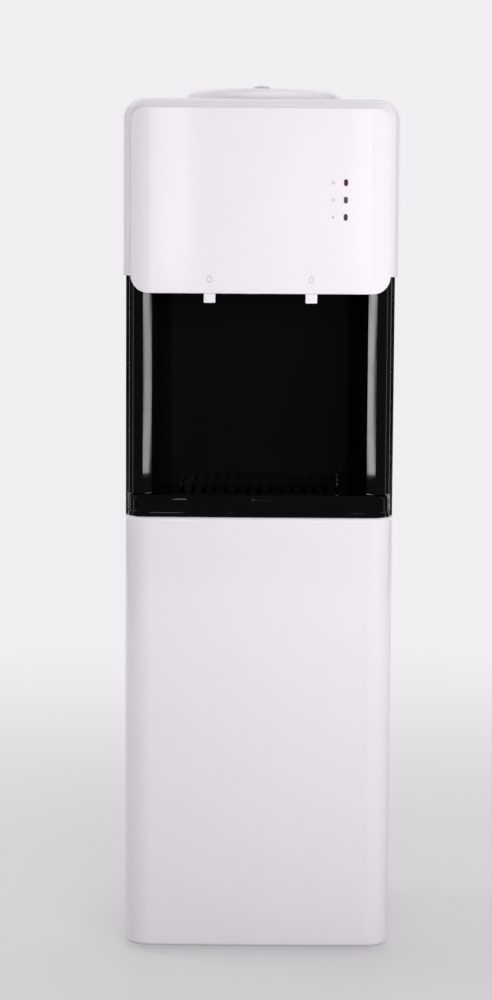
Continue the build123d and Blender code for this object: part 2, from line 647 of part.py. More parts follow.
def make_seat():
    """Bottle seat turned in one piece: rounded collar, funnel and a ledge that carries the neck cup."""
    base = CROWN_Z + SEAT
    rim = CROWN_Z + COLLAR_HEIGHT
    spigot = collar_spigot()
    hole = NECK_RADIUS + PLASTIC + SLIDE
    ledge = NECK_RADIUS + PLASTIC + CUP_FLANGE
    inner_rim = RIM_RADIUS - RIM_FLAT
    crown = FilletPolyline(
        (COLLAR_RADIUS, base), (COLLAR_RADIUS - SEAM, rim - SEAM), (RIM_RADIUS, rim), radius=COLLAR_ROUND
    )
    inside = Polyline(
        (RIM_RADIUS, rim),
        (inner_rim, rim),
        (ledge, LEDGE_Z),
        (hole, LEDGE_Z),
        (hole, LEDGE_Z - PLASTIC),
        (ledge + PLASTIC, LEDGE_Z - PLASTIC),
        (inner_rim + PLASTIC, rim - 2 * PLASTIC),
        (RIM_RADIUS, rim - PLASTIC),
    )
    under = FilletPolyline(
        (RIM_RADIUS, rim - PLASTIC),
        (spigot - PLASTIC, rim - PLASTIC - SEAM),
        (spigot - PLASTIC, base - SPIGOT_DROP),
        radius=COLLAR_ROUND - PLASTIC,
    )
    ring = Polyline(
        (spigot - PLASTIC, base - SPIGOT_DROP),
        (spigot, base - SPIGOT_DROP),
        (spigot, base),
        (COLLAR_RADIUS, base),
    )
    face = make_face(Plane.XZ * (crown + inside + under + ring))
    return Pos(0, BOTTLE_Y, 0) * revolve(face, Axis.Z)


def make_probe():
    """Neck cup and probe in one moulding: rim on the ledge, hollow post with windows round its foot."""
    wall = NECK_RADIUS + PLASTIC
    rim = wall + CUP_FLANGE - SLIDE
    rim_z = LEDGE_Z + SEAT
    floor = NECK_Z + PLASTIC
    tip = CROWN_Z + PROBE_RISE
    bead = PROBE_RADIUS / 2
    profile = [
        (PROBE_BORE, NECK_Z),
        (wall, NECK_Z),
        (wall, rim_z),
        (rim, rim_z),
        (rim, rim_z + PLASTIC),
        (NECK_RADIUS, rim_z + PLASTIC),
        (NECK_RADIUS, floor),
        (PROBE_RADIUS + PLASTIC, floor),
        (PROBE_RADIUS, floor + PLASTIC),
        (PROBE_RADIUS, tip - bead),
        (PROBE_RADIUS - bead / 4, tip - bead / 4),
        (PROBE_RADIUS - bead, tip),
        (0, tip),
        (0, tip - 2 * bead),
        (PROBE_BORE, tip - 3 * bead),
    ]
    probe = turned(profile, 0, BOTTLE_Y)
    window = slab((-PROBE_RADIUS - SEAM, 0), (-PROBE_WINDOW / 2, PROBE_WINDOW / 2), (0, FUNNEL_DEPTH / 2))
    for turn in range(PROBE_WINDOWS):
        place = Pos(0, BOTTLE_Y, floor + 2 * PLASTIC) * Rot(0, 0, turn * 360 / PROBE_WINDOWS)
        probe -= place * window
    return probe


def make_tank():
    """Cold tank: drawn steel cup with a rolled flange and an outlet pipe to the cold tap."""
    cup = turned(
        [
            (0, TANK_Z),
            (TANK_RADIUS, TANK_Z),
            (TANK_RADIUS, TANK_TOP - STEEL),
            (TANK_RADIUS + TANK_FLANGE, TANK_TOP - STEEL),
            (TANK_RADIUS + TANK_FLANGE, TANK_TOP),
            (TANK_RADIUS - STEEL, TANK_TOP),
            (TANK_RADIUS - STEEL, TANK_Z + STEEL),
            (0, TANK_Z + STEEL),
        ],
        0,
        BOTTLE_Y,
    )
    wall_y = BOTTLE_Y - sqrt(TANK_RADIUS**2 - TAP_X**2)
    outlet = (TAP_X, COLD_SPIGOT_Y, INLET_Z)
    feed = (FEED_X, FEED_Y, SHELF_Z - 2 * HOSE_RADIUS)
    cup += rod((TAP_X, wall_y, INLET_Z), outlet, HOSE_BORE - RUN)
    cup += rod((FEED_X, FEED_Y, TANK_Z), feed, HOSE_BORE - RUN)
    cup -= rod((TAP_X, wall_y + HOSE_RADIUS, INLET_Z), outlet, HOSE_BORE - STEEL)
    cup -= rod((FEED_X, FEED_Y, TANK_Z + HOSE_RADIUS), feed, HOSE_BORE - STEEL)
    return cup


def make_lid():
    """Tank lid with a raised throat for the neck of the bottle seat."""
    throat = NECK_RADIUS + PLASTIC + 2 * PLASTIC
    low = TANK_TOP + SEAT
    profile = [
        (throat, low),
        (TANK_RADIUS + TANK_FLANGE, low),
        (TANK_RADIUS + TANK_FLANGE, low + PLASTIC),
        (throat + PLASTIC, low + PLASTIC),
        (throat + PLASTIC, low + 3 * LID),
        (throat, low + 3 * LID),
    ]
    return turned(profile, 0, BOTTLE_Y)


def make_baffle():
    """Separator plate that keeps incoming water off the cold outlet."""
    level = TANK_Z + (TANK_TOP - TANK_Z) / 2
    foot = TANK_Z + STEEL + SEAT
    return turned(
        [
            (HOSE_RADIUS, foot),
            (HOSE_RADIUS + PLASTIC, foot),
            (HOSE_RADIUS + PLASTIC, level),
            (BAFFLE_RADIUS, level),
            (BAFFLE_RADIUS, level + PLASTIC),
            (HOSE_RADIUS, level + PLASTIC),
        ],
        0,
        BOTTLE_Y,
    )


def make_coil():
    """Evaporator: flattened copper tube wound round the cold tank."""
    radius = TANK_RADIUS + SLIDE + COIL_TUBE / 2
    path = Helix(COIL_PITCH, COIL_PITCH * COIL_TURNS, radius)
    section = Plane(path @ 0, x_dir=(1, 0, 0), z_dir=path % 0) * Rectangle(COIL_TUBE, 2 * COIL_TUBE)
    return Pos(0, BOTTLE_Y, COIL_Z) * Rot(0, 0, coil_angle()) * sweep(section, path=path, is_frenet=True)


def coil_angle():
    """Direction from the tank axis to the suction line, in degrees."""
    return Vector(SUCTION_X, COMPRESSOR_Y - BOTTLE_Y, 0).get_signed_angle(Vector(-1, 0, 0)) + 180


def coil_end():
    """Place on the evaporator where the suction line joins."""
    away = Vector(SUCTION_X, COMPRESSOR_Y - BOTTLE_Y, 0).normalized()
    end = away * (TANK_RADIUS + COIL_TUBE + 2 * SLIDE)
    return (end.X, BOTTLE_Y + end.Y, COIL_Z)


def make_foam():
    """Foam cup round the cold tank with passages for its pipes."""
    profile = [
        (0, FOAM_Z),
        (FOAM_RADIUS, FOAM_Z),
        (FOAM_RADIUS, TANK_TOP - STEEL - SEAT),
        (COIL_SPACE, TANK_TOP - STEEL - SEAT),
        (COIL_SPACE, TANK_Z - SEAT),
        (0, TANK_Z - SEAT),
    ]
    foam = turned(profile, 0, BOTTLE_Y)
    hole = HOSE_BORE + SLIDE
    foam -= rod((TAP_X, -DEPTH, INLET_Z), (TAP_X, BOTTLE_Y, INLET_Z), hole)
    foam -= rod((TAP_X, -DEPTH, INLET_Z), (TAP_X, cold_hose_end() + SEAM, INLET_Z), HOSE_RADIUS + SLIDE)
    foam -= rod((FEED_X, FEED_Y, FOAM_Z - SEAM), (FEED_X, FEED_Y, TANK_Z), hole)
    foam -= rod((SUCTION_X, COMPRESSOR_Y, COIL_Z), coil_end(), LINE_RADIUS + SLIDE)
    return foam


def make_shelf():
    """Steel shelf over the bay that carries the cold tank, folded down at its sides."""
    half = SIDE_INNER_X - SEAT
    shelf = slab((-half, half), (SHELF_FRONT_Y, REAR_INNER_Y - 2 * STEEL), (SHELF_Z, SHELF_TOP))
    for side in (-1, 1):
        fold = sorted((side * half, side * (half - STEEL)))
        shelf += slab(fold, (SIDE_FRONT_Y + FLANGE, REAR_INNER_Y - FLANGE), (SHELF_Z - FLANGE, SHELF_Z))
    shelf -= rod((FEED_X, FEED_Y, 0), (FEED_X, FEED_Y, CROWN_Z), HOSE_RADIUS + SEAM)
    shelf -= rod((HOT_HOSE_X, HOT_Y, 0), (HOT_HOSE_X, HOT_Y, CROWN_Z), HOSE_RADIUS + SEAM)
    shelf -= rod((SUCTION_X, COMPRESSOR_Y, 0), (SUCTION_X, COMPRESSOR_Y, CROWN_Z), LINE_RADIUS + SEAM)
    return shelf


def make_tap_body(x, inlet):
    """Tap body: flange, valve chamber with a raised seat, downward nozzle and inlet barb."""
    tip = HEAD_Z - NOZZLE_DROP
    body = turned(
        [
            (NOZZLE_BORE, tip),
            (NOZZLE_RADIUS - SEAM, tip),
            (NOZZLE_RADIUS, tip + TAP_FLOOR),
            (NOZZLE_RADIUS, TAP_Z),
            (TAP_FLANGE_RADIUS, TAP_Z),
            (TAP_FLANGE_RADIUS, TAP_Z + TAP_FLOOR),
            (TAP_RADIUS, TAP_Z + TAP_FLOOR),
            (TAP_RADIUS, BONNET_Z),
            (TAP_BORE, BONNET_Z),
            (TAP_BORE, TAP_Z + TAP_FLOOR),
            (NOZZLE_BORE + 2 * SEAM, TAP_Z + TAP_FLOOR),
            (NOZZLE_BORE + SEAM, VALVE_SEAT_Z),
            (NOZZLE_BORE, VALVE_SEAT_Z),
        ]
    )
    end = TAP_RADIUS + BARB_LENGTH
    barb = rod((TAP_BORE + SEAM, 0, INLET_Z), (end, 0, INLET_Z), HOSE_BORE - RUN)
    passage = rod((0, 0, INLET_Z), (end + SEAM, 0, INLET_Z), HOSE_BORE - 2 * STEEL)
    chamber = rod((0, 0, INLET_Z - HOSE_BORE), (0, 0, BONNET_Z), TAP_BORE)
    return Pos(x, NOZZLE_Y, 0) * (body + Rot(0, 0, inlet) * (barb - chamber) - Rot(0, 0, inlet) * passage)


def make_bonnet(x):
    """Screwed bonnet with a spigot in the chamber and two ears that hold the pivot pin."""
    bonnet = turned(
        [
            (STEM_RADIUS + RUN, BONNET_Z - BONNET_HEIGHT / 2),
            (TAP_BORE - SEAT, BONNET_Z - BONNET_HEIGHT / 2),
            (TAP_BORE - SEAT, BONNET_Z),
            (BONNET_RADIUS, BONNET_Z),
            (BONNET_RADIUS, BONNET_TOP - SEAM),
            (BONNET_RADIUS - SEAM, BONNET_TOP),
            (STEM_RADIUS + RUN, BONNET_TOP),
        ],
        0,
        NOZZLE_Y,
    )
    root = BONNET_RADIUS * 0.6
    outline = Polyline(
        (NOZZLE_Y - root, BONNET_Z),
        (NOZZLE_Y + root / 2, BONNET_Z),
        (NOZZLE_Y + root / 2, BONNET_TOP),
        (PIVOT_Y + HUB_RADIUS / 2, PIVOT_Z + HUB_RADIUS * 0.87),
        (PIVOT_Y - HUB_RADIUS / 2, PIVOT_Z - HUB_RADIUS * 0.87),
        close=True,
    )
    for side in (-1, 1):
        near = side * (LEVER_HALF + SLIDE)
        ear = Pos(near, 0, 0) * extrude(make_face(Plane.YZ * outline), side * EAR)
        ear += rod((near, PIVOT_Y, PIVOT_Z), (near + side * EAR, PIVOT_Y, PIVOT_Z), HUB_RADIUS)
        bonnet += ear
    return Pos(x, 0, 0) * (bonnet - pivot_hole())


def pivot_hole():
    """Bore for the pivot pin through the lever and the bonnet ears."""
    return rod((-PIN_LENGTH, PIVOT_Y, PIVOT_Z), (PIN_LENGTH, PIVOT_Y, PIVOT_Z), PIN_RADIUS + RUN)


def make_pin(x):
    """Pivot pin across the two ears of a bonnet."""
    half = PIN_LENGTH / 2
    pin = rod((x - half, PIVOT_Y, PIVOT_Z), (x + half, PIVOT_Y, PIVOT_Z), PIN_RADIUS)
    return chamfer(pin.edges().filter_by(GeomType.CIRCLE), RUN * 6)


def make_stem(x):
    """Valve stem with the collar that the lever fork lifts."""
    profile = [
        (0, SEAL_TOP - SEAL_HEIGHT / 2),
        (STEM_RADIUS, SEAL_TOP - SEAL_HEIGHT / 2),
        (STEM_RADIUS, PIVOT_Z),
        (STEM_COLLAR_RADIUS, PIVOT_Z),
        (STEM_COLLAR_RADIUS, PIVOT_Z + STEM_COLLAR - SEAM),
        (STEM_COLLAR_RADIUS - SEAM, PIVOT_Z + STEM_COLLAR),
        (0, PIVOT_Z + STEM_COLLAR),
    ]
    return turned(profile, x, NOZZLE_Y)


def make_seal(x):
    """Silicone valve seal pushed over the foot of the stem."""
    low = VALVE_SEAT_Z + RUN
    profile = [
        (0, low),
        (SEAL_RADIUS, low),
        (SEAL_RADIUS, low + SEAL_HEIGHT / 3),
        (STEM_RADIUS + 2 * SEAM, SEAL_TOP),
        (STEM_RADIUS + RUN, SEAL_TOP),
        (STEM_RADIUS + RUN, SEAL_TOP - SEAL_HEIGHT / 2 - RUN),
        (0, SEAL_TOP - SEAL_HEIGHT / 2 - RUN),
    ]
    return turned(profile, x, NOZZLE_Y)


def make_spring(x):
    """Closing spring of flat wire between the seal and the bonnet."""
    low = SEAL_TOP + SPRING_WIRE
    high = BONNET_Z - BONNET_HEIGHT / 2 - SPRING_WIRE
    path = Helix((high - low) / SPRING_TURNS, high - low, SPRING_RADIUS - SPRING_WIRE / 2)
    section = Plane(path @ 0, x_dir=(1, 0, 0), z_dir=path % 0) * Rectangle(SPRING_WIRE, SPRING_WIRE)
    return Pos(x, NOZZLE_Y, low) * sweep(section, path=path, is_frenet=True)


def make_lever(x):
    """Push lever: thumb tab under the head, upright arm, hub on the pin and a fork under the stem collar."""
    arm = slab((-LEVER_HALF, LEVER_HALF), (LEVER_Y, LEVER_Y + LEVER), (LEVER_LOW, PIVOT_Z + HUB_RADIUS))
    tab = slab(
        (-TAB_WIDTH / 2, TAB_WIDTH / 2), (LEVER_Y, LEVER_Y + LEVER), (LEVER_LOW, HEAD_Z + TAB_RISE)
    )
    tab = fillet(tab.edges().filter_by(Axis.Y), SEAM)
    tab = fillet(tab.faces().sort_by(Axis.Y)[0].edges(), SEAM)
    web = slab((-LEVER_HALF, LEVER_HALF), (LEVER_Y, PIVOT_Y), (PIVOT_Z - HUB_RADIUS, PIVOT_Z + HUB_RADIUS))
    hub = rod((-LEVER_HALF, PIVOT_Y, PIVOT_Z), (LEVER_HALF, PIVOT_Y, PIVOT_Z), HUB_RADIUS)
    lever = arm + tab + web + hub
    finger_z = PIVOT_Z - FINGER_RADIUS - SEAT
    for side in (-1, 1):
        tine = sorted((side * TINE_GAP, side * LEVER_HALF))
        lever += slab(tine, (PIVOT_Y, NOZZLE_Y), (finger_z - SEAM, finger_z + FINGER_RADIUS / 2))
        lever += rod((tine[0], NOZZLE_Y, finger_z), (tine[1], NOZZLE_Y, finger_z), FINGER_RADIUS)
    return Pos(x, 0, 0) * (lever - pivot_hole())


def make_lamp(z):
    """Indicator lens through the head panel with a foot on the board."""
    front = FRONT_Y + bow_recess(LAMP_X) - LAMP_PROUD
    lens = Pos(LAMP_X, front + LAMP_DEPTH, z) * extrude(
        Plane.XZ * SlotOverall(LAMP_HEIGHT, LAMP_WIDTH, rotation=90), LAMP_DEPTH
    )
    return fillet(lens.faces().sort_by(Axis.Y)[0].edges(), LAMP_PROUD)


def make_board():
    """Circuit board that carries the indicator lamps, on two posts behind the head panel."""
    front = FRONT_Y + bow_recess(LAMP_X) - LAMP_PROUD + LAMP_DEPTH + SEAT
    levels = lamp_levels()
    half = 2 * LAMP_HEIGHT
    board = slab(
        (LAMP_X - half, LAMP_X + half), (front, front + BOARD), (levels[-1] - half, levels[0] + half)
    )
    board = fillet(board.edges().filter_by(Axis.Y), BOARD)
    wall = FRONT_Y + bow_recess(LAMP_X) + PLASTIC + SEAT
    for z in (levels[-1] - LAMP_HEIGHT - SEAM, levels[0] + LAMP_HEIGHT + SEAM):
        board += rod((LAMP_X, wall, z), (LAMP_X, front, z), SCREW_RADIUS)
    return board


def make_tray():
    """Drip tray: rounded front with a lip along its foot, narrower body that slides in the bay, basin."""
    corner = COLUMN_CORNER
    face_y = TRAY_FRONT_Y + TRAY_SCOOP
    lip = front_block(COLUMN_HALF, TRAY_FRONT_Y, WRAP_Y - SEAT, corner, TRAY_Z, TRAY_Z + TRAY_LIP)
    lip = fillet(rim_edges(lip, TRAY_Z + TRAY_LIP, WRAP_Y - SEAT), TRAY_SCOOP)
    face = front_block(COLUMN_HALF - TRAY_SCOOP, face_y, WRAP_Y - SEAT, corner - TRAY_SCOOP, TRAY_Z, TRAY_TOP)
    face = fillet(rim_edges(face, TRAY_TOP, WRAP_Y - SEAT), TRAY_ROUND)
    body = bay_space(TRAY_Z, TRAY_TOP, -SLIDE)
    body &= slab((-WIDTH, WIDTH), (COLUMN_FRONT_Y, DEPTH), (0, CROWN_Z))
    return lip + face + body - tray_basin(TRAY_Z + TRAY_FLOOR, 0) - tray_basin(grille_level(), TRAY_RIM / 3)


def grille_level():
    """Underside of the grille in the drip tray."""
    return TRAY_TOP - GRILLE


def tray_basin(low, grow):
    """Space inside the drip tray from a level up to its rim."""
    half = THROAT_HALF - BAY_DRAFT - TRAY_RIM + grow
    front = TRAY_FRONT_Y + TRAY_RIM + TRAY_ROUND - grow
    back = BAY_BACK_Y - TRAY_RIM + grow
    space = slab((-half, half), (front, back), (low, TRAY_TOP + SEAM))
    return fillet(space.edges().filter_by(Axis.Z), BAY_CORNER / 2 + grow)


def make_grille():
    """Slotted grille that drops into the rim of the drip tray, with a finger hole to lift it."""
    plate = tray_basin(grille_level() + SEAT, TRAY_RIM / 3 - SLIDE)
    plate &= slab((-WIDTH, WIDTH), (-DEPTH, DEPTH), (0, TRAY_TOP))
    box = plate.bounding_box()
    middle_y = (box.min.Y + box.max.Y) / 2
    length = box.size.Y - 2 * GRILLE_MARGIN
    last = int((box.size.X - 2 * GRILLE_MARGIN - GRILLE_SLOT) / GRILLE_PITCH)
    slot = extrude(SlotOverall(length, GRILLE_SLOT, rotation=90), 2 * GRILLE, both=True)
    for step in range(last + 1):
        x = (step - last / 2) * GRILLE_PITCH
        plate -= Pos(x, middle_y, TRAY_TOP) * slot
    hole_y = box.min.Y + GRILLE_MARGIN + GRILLE_LIFT_HOLE
    return plate - rod((0, hole_y, 0), (0, hole_y, CROWN_Z), GRILLE_LIFT_HOLE)


def make_hot_tank():
    """Hot tank: drawn shell with domed ends and three pipe stubs."""
    top = HOT_LOW + HOT_HEIGHT
    shoulder = HOT_RADIUS - HOT_DOME
    profile = [
        (0, HOT_LOW),
        (shoulder, HOT_LOW),
        (HOT_RADIUS, HOT_LOW + HOT_DOME),
        (HOT_RADIUS, top - HOT_DOME),
        (shoulder, top),
        (0, top),
        (0, top - STEEL),
        (shoulder - STEEL / 2, top - STEEL),
        (HOT_RADIUS - STEEL, top - HOT_DOME - STEEL / 2),
        (HOT_RADIUS - STEEL, HOT_LOW + HOT_DOME + STEEL / 2),
        (shoulder - STEEL / 2, HOT_LOW + STEEL),
        (0, HOT_LOW + STEEL),
    ]
    shell = turned(profile, 0, HOT_Y)
    stub = HOSE_BORE - RUN
    inside = shell.bounding_box().min.X + STEEL / 2
    shell += rod((inside, HOT_Y, HOT_OUTLET_Z), (hot_stub_x(), HOT_Y, HOT_OUTLET_Z), stub)
    shell += rod((0, HOT_Y, HOT_LOW + STEEL / 2), (0, HOT_Y, HOT_LOW - 2 * HOSE_RADIUS), stub)
    return shell


def hot_stub_x():
    """End of the hot tank outlet stub."""
    return -HOT_RADIUS - 2 * HOSE_RADIUS


def make_heater():
    """Band heater clamped round the hot tank with a terminal block."""
    low = HOT_LOW + HOT_DOME + 2 * HOSE_RADIUS
    top = low + HEATER_HEIGHT
    reach = HOT_RADIUS + SEAT
    band = rod((0, HOT_Y, low), (0, HOT_Y, top), reach + HEATER)
    band -= rod((0, HOT_Y, low - SEAM), (0, HOT_Y, top + SEAM), reach)
    band -= slab((HOT_RADIUS / 2, WIDTH), (HOT_Y - SEAM, HOT_Y + SEAM), (low - SEAM, top + SEAM))
    for side in (-1, 1):
        ear = sorted((HOT_Y + side * SEAM, HOT_Y + side * HEATER))
        band += slab((reach + SEAM, reach + FLANGE), ear, (low + HEATER, top - HEATER))
    return band


def make_thermostat(turn):
    """Disc thermostat with two blade terminals, on the wall of the hot tank."""
    reach = HOT_RADIUS + SEAT
    level = HOT_LOW + HOT_DOME + 2 * HOSE_RADIUS + HEATER_HEIGHT + FLANGE
    disc = rod((reach, 0, level), (reach + HEATER, 0, level), FLANGE - 3 * SEAM)
    disc -= rod((0, 0, level - FLANGE), (0, 0, level + FLANGE), reach)
    disc += rod((reach + HEATER, 0, level), (reach + 2 * HEATER, 0, level), FLANGE / 2)
    for side in (-1, 1):
        blade = sorted((side * SEAM, side * HEATER))
        disc += slab((reach + 2 * HEATER, reach + 4 * HEATER), blade, (level - SEAM / 2, level + SEAM / 2))
    return Pos(0, HOT_Y, 0) * Rot(0, 0, turn) * disc


def make_hot_bracket():
    """Folded steel bracket on the rear panel that carries the hot tank."""
    top = HOT_LOW - SEAT
    plate = slab((-HOT_RADIUS, HOT_RADIUS), (HOT_Y - HOT_RADIUS, REAR_INNER_Y), (top - 2 * STEEL, top))
    leg = slab((-HOT_RADIUS, HOT_RADIUS), (REAR_INNER_Y - 2 * STEEL, REAR_INNER_Y), (top - 3 * FLANGE, top))
    front = plate.edges().filter_by(Axis.Z).group_by(Axis.Y)[0]
    bracket = fillet(front, FLANGE) + leg
    return bracket - rod((0, HOT_Y, 0), (0, HOT_Y, top + SEAM), HOSE_RADIUS + SEAM)


def make_cold_hose():
    """Short silicone coupling from the cold tank to the cold tap."""
    start = NOZZLE_Y + TAP_RADIUS + SEAM
    end = cold_hose_end()
    hose = rod((TAP_X, start, INLET_Z), (TAP_X, end, INLET_Z), HOSE_RADIUS)
    return hose - rod((TAP_X, start - SEAM, INLET_Z), (TAP_X, end + SEAM, INLET_Z), HOSE_BORE)


def cold_hose_end():
    """Rear end of the cold hose on the tank outlet."""
    return COLD_SPIGOT_Y + BARB_LENGTH - 2 * SEAM


def make_hot_hose():
    """Silicone hose from the hot tank up the left side to the hot tap."""
    points = [
        (-TAP_X - TAP_RADIUS - SEAM, NOZZLE_Y, INLET_Z),
        (HOT_HOSE_X, NOZZLE_Y, INLET_Z),
        (HOT_HOSE_X, HOT_Y, INLET_Z),
        (HOT_HOSE_X, HOT_Y, HOT_OUTLET_Z),
        (hot_stub_x() + 2 * HOSE_RADIUS - SEAM - SEAT, HOT_Y, HOT_OUTLET_Z),
    ]
    return pipe(points, HOSE_RADIUS, HOSE_BEND, HOSE_BORE)


def make_feed_hose():
    """Hose from the bottom of the cold tank down and under to the hot tank."""
    low = HOT_LOW - FEED_SAG
    points = [
        (FEED_X, FEED_Y, SHELF_Z - SEAM),
        (FEED_X, FEED_Y, low),
        (0, HOT_Y, low),
        (0, HOT_Y, HOT_LOW - SEAM),
    ]
    return pipe(points, HOSE_RADIUS, FEED_BEND, HOSE_BORE)


def make_drain():
    """Drain pipe from the hot tank through the rear panel, with a stop collar inside it."""
    start = HOT_Y + HOT_RADIUS + SEAT
    end = REAR_Y + DRAIN_REACH
    pipe_body = rod((0, start, DRAIN_Z), (0, end, DRAIN_Z), DRAIN_RADIUS)
    pipe_body += rod((0, REAR_INNER_Y - 3 * STEEL, DRAIN_Z), (0, REAR_INNER_Y - SEAT, DRAIN_Z), CAP_RADIUS)
    pipe_body -= rod((0, HOT_Y, DRAIN_Z - HOT_DOME), (0, HOT_Y, DRAIN_Z + HOT_DOME), HOT_RADIUS + SEAT)
    return pipe_body - rod((0, start - SEAM, DRAIN_Z), (0, end + SEAM, DRAIN_Z), DRAIN_BORE)


def make_drain_cap():
    """Ribbed cap on the end of the drain pipe."""
    end = REAR_Y + DRAIN_REACH + SEAT
    start = end + STEEL - CAP_LENGTH + PLASTIC
    cap = rod((0, start, DRAIN_Z), (0, end + PLASTIC, DRAIN_Z), CAP_RADIUS)
    cap = fillet(cap.edges().sort_by(Axis.Y)[-1], SEAM)
    for turn in range(CAP_RIBS):
        rib = slab((CAP_RADIUS - SEAM, CAP_RADIUS + SEAM), (start, end), (-SEAM, SEAM))
        cap += Pos(0, 0, DRAIN_Z) * Rot(0, turn * 360 / CAP_RIBS, 0) * rib
    return cap - rod((0, start - SEAM, DRAIN_Z), (0, end, DRAIN_Z), DRAIN_RADIUS + SLIDE)


def make_compressor():
    """Sealed compressor: pot with a weld seam, foot plate, terminal cover and two pipe stubs."""
    low = PLATE_Z + COMPRESSOR_PLATE
    top = low + COMPRESSOR_HEIGHT
    middle = (low + top) / 2
    pot = rod((0, COMPRESSOR_Y, low), (0, COMPRESSOR_Y, top), COMPRESSOR_RADIUS)
    pot = fillet(pot.edges().sort_by(Axis.Z)[-1], COMPRESSOR_DOME)
    pot = fillet(pot.edges().sort_by(Axis.Z)[0], COMPRESSOR_FOOT_ROUND)
    seam = [(0, COMPRESSOR_Y, middle + side * WELD_SEAM) for side in (-1, 1)]
    pot += rod(*seam, COMPRESSOR_RADIUS + WELD_SEAM)
    reach_x = COMPRESSOR_FOOT_X + FLANGE
    reach_y = COMPRESSOR_FOOT_Y + FLANGE
    plate = slab((-reach_x, reach_x), (COMPRESSOR_Y - reach_y, COMPRESSOR_Y + reach_y), (PLATE_Z, low + SEAM))
    plate = fillet(plate.edges().filter_by(Axis.Z), FLANGE)
    for x, y in BOLT_PLACES:
        plate -= rod((x, y, 0), (x, y, top), GROMMET_RADIUS - 2 * SEAM)
    cover = slab(
        (COMPRESSOR_RADIUS - FLANGE, COMPRESSOR_RADIUS + 2 * FLANGE),
        (COMPRESSOR_Y - 2 * FLANGE, COMPRESSOR_Y + 2 * FLANGE),
        (middle - 3 * FLANGE, middle + FLANGE),
    )
    cover = fillet(cover.edges().filter_by(Axis.X), FLANGE / 2)
    return pot + plate + cover


def make_grommet(x, y):
    """Rubber mount gripping a hole of the compressor foot plate."""
    inner = BOLT_RADIUS + SEAM
    waist = GROMMET_RADIUS - 2 * SEAM - SEAT
    low = DECK_TOP + RUN
    plate_top = PLATE_Z + COMPRESSOR_PLATE + SEAM
    profile = [
        (inner, low),
        (GROMMET_RADIUS, low),
        (GROMMET_RADIUS, PLATE_Z - RUN),
        (waist, PLATE_Z - RUN),
        (waist, plate_top + RUN),
        (GROMMET_RADIUS, plate_top + RUN),
        (GROMMET_RADIUS - SEAM, plate_top + 3 * SEAM),
        (inner, plate_top + 3 * SEAM),
    ]
    return turned(profile, x, y)


def make_bolt(x, y):
    """Bolt and washer through a rubber mount into the base."""
    top = PLATE_Z + COMPRESSOR_PLATE + 4 * SEAM + SEAT
    profile = [
        (0, FLOOR_TOP),
        (BOLT_RADIUS, FLOOR_TOP),
        (BOLT_RADIUS, top),
        (GROMMET_RADIUS - SEAM, top),
        (GROMMET_RADIUS - SEAM, top + SEAM),
        (0, top + SEAM),
    ]
    head = Pos(x, y, top + SEAM) * extrude(RegularPolygon(2 * BOLT_RADIUS, 6), BOLT_RADIUS)
    return turned(profile, x, y) + head


def make_suction():
    """Suction line from the evaporator down to the compressor."""
    points = [
        (-COMPRESSOR_RADIUS - SEAT, COMPRESSOR_Y, SUCTION_Z - FLANGE),
        (SUCTION_X, COMPRESSOR_Y, SUCTION_Z - FLANGE),
        (SUCTION_X, COMPRESSOR_Y, COIL_Z),
        coil_end(),
    ]
    return pipe(points, LINE_RADIUS, LINE_BEND)


def make_discharge():
    """Discharge line from the compressor through the rear panel to the top of the condenser."""
    rear = COMPRESSOR_Y + COMPRESSOR_RADIUS + SEAT
    run_y = REAR_INNER_Y - FLANGE
    level = discharge_level()
    points = [
        (0, rear, SUCTION_Z - FLANGE),
        (0, run_y, SUCTION_Z - FLANGE),
        (DISCHARGE_X, run_y, SUCTION_Z - FLANGE),
        (DISCHARGE_X, run_y, level),
        (DISCHARGE_X, CONDENSER_Y, level),
        (DISCHARGE_X, CONDENSER_Y, CONDENSER_HIGH + CONDENSER_TUBE + SEAT),
    ]
    return pipe(points, LINE_RADIUS - SEAM, LINE_BEND - 2 * SEAM)


def make_drier():
    """Filter drier with its inlet from the condenser and the capillary to the suction line."""
    y = REAR_INNER_Y - 2 * FLANGE
    low = CONDENSER_LOW + 2 * LINE_BEND
    top = low + DRIER_LENGTH
    neck = CAPILLARY + SEAM
    profile = [
        (0, low),
        (neck, low),
        (DRIER_RADIUS, low + FLANGE),
        (DRIER_RADIUS, top - FLANGE),
        (neck, top),
        (0, top),
    ]
    body = turned(profile, SUCTION_X, y)
    inlet = [
        (SUCTION_X, CONDENSER_Y - CONDENSER_TUBE - SEAT, CONDENSER_LOW),
        (SUCTION_X, y, CONDENSER_LOW),
        (SUCTION_X, y, low + SEAM),
    ]
    join = COMPRESSOR_Y + LINE_RADIUS + SEAT
    rise = top + DRIER_LENGTH
    capillary = [(SUCTION_X, y, top - SEAM), (SUCTION_X, y, rise), (SUCTION_X, join, rise)]
    return body + pipe(inlet, CONDENSER_TUBE, LINE_BEND) + pipe(capillary, CAPILLARY, LINE_BEND)


def make_condenser():
    """Condenser tube bent to and fro down the back."""
    bend = CONDENSER_PITCH / 2
    path = Curve()
    for row in range(CONDENSER_ROWS):
        side = 1 if row % 2 == 0 else -1
        z = CONDENSER_HIGH - row * CONDENSER_PITCH
        start = (side * CONDENSER_HALF, CONDENSER_Y, z)
        end = (-side * CONDENSER_HALF, CONDENSER_Y, z)
        path += Line(start, end)
        if row < CONDENSER_ROWS - 1:
            tip = (-side * (CONDENSER_HALF + bend), CONDENSER_Y, z - bend)
            path += ThreePointArc(end, tip, (end[0], CONDENSER_Y, z - CONDENSER_PITCH))
    section = Pos(CONDENSER_HALF, CONDENSER_Y, CONDENSER_HIGH) * (Plane.YZ * Circle(CONDENSER_TUBE))
    return sweep(section, path=path)


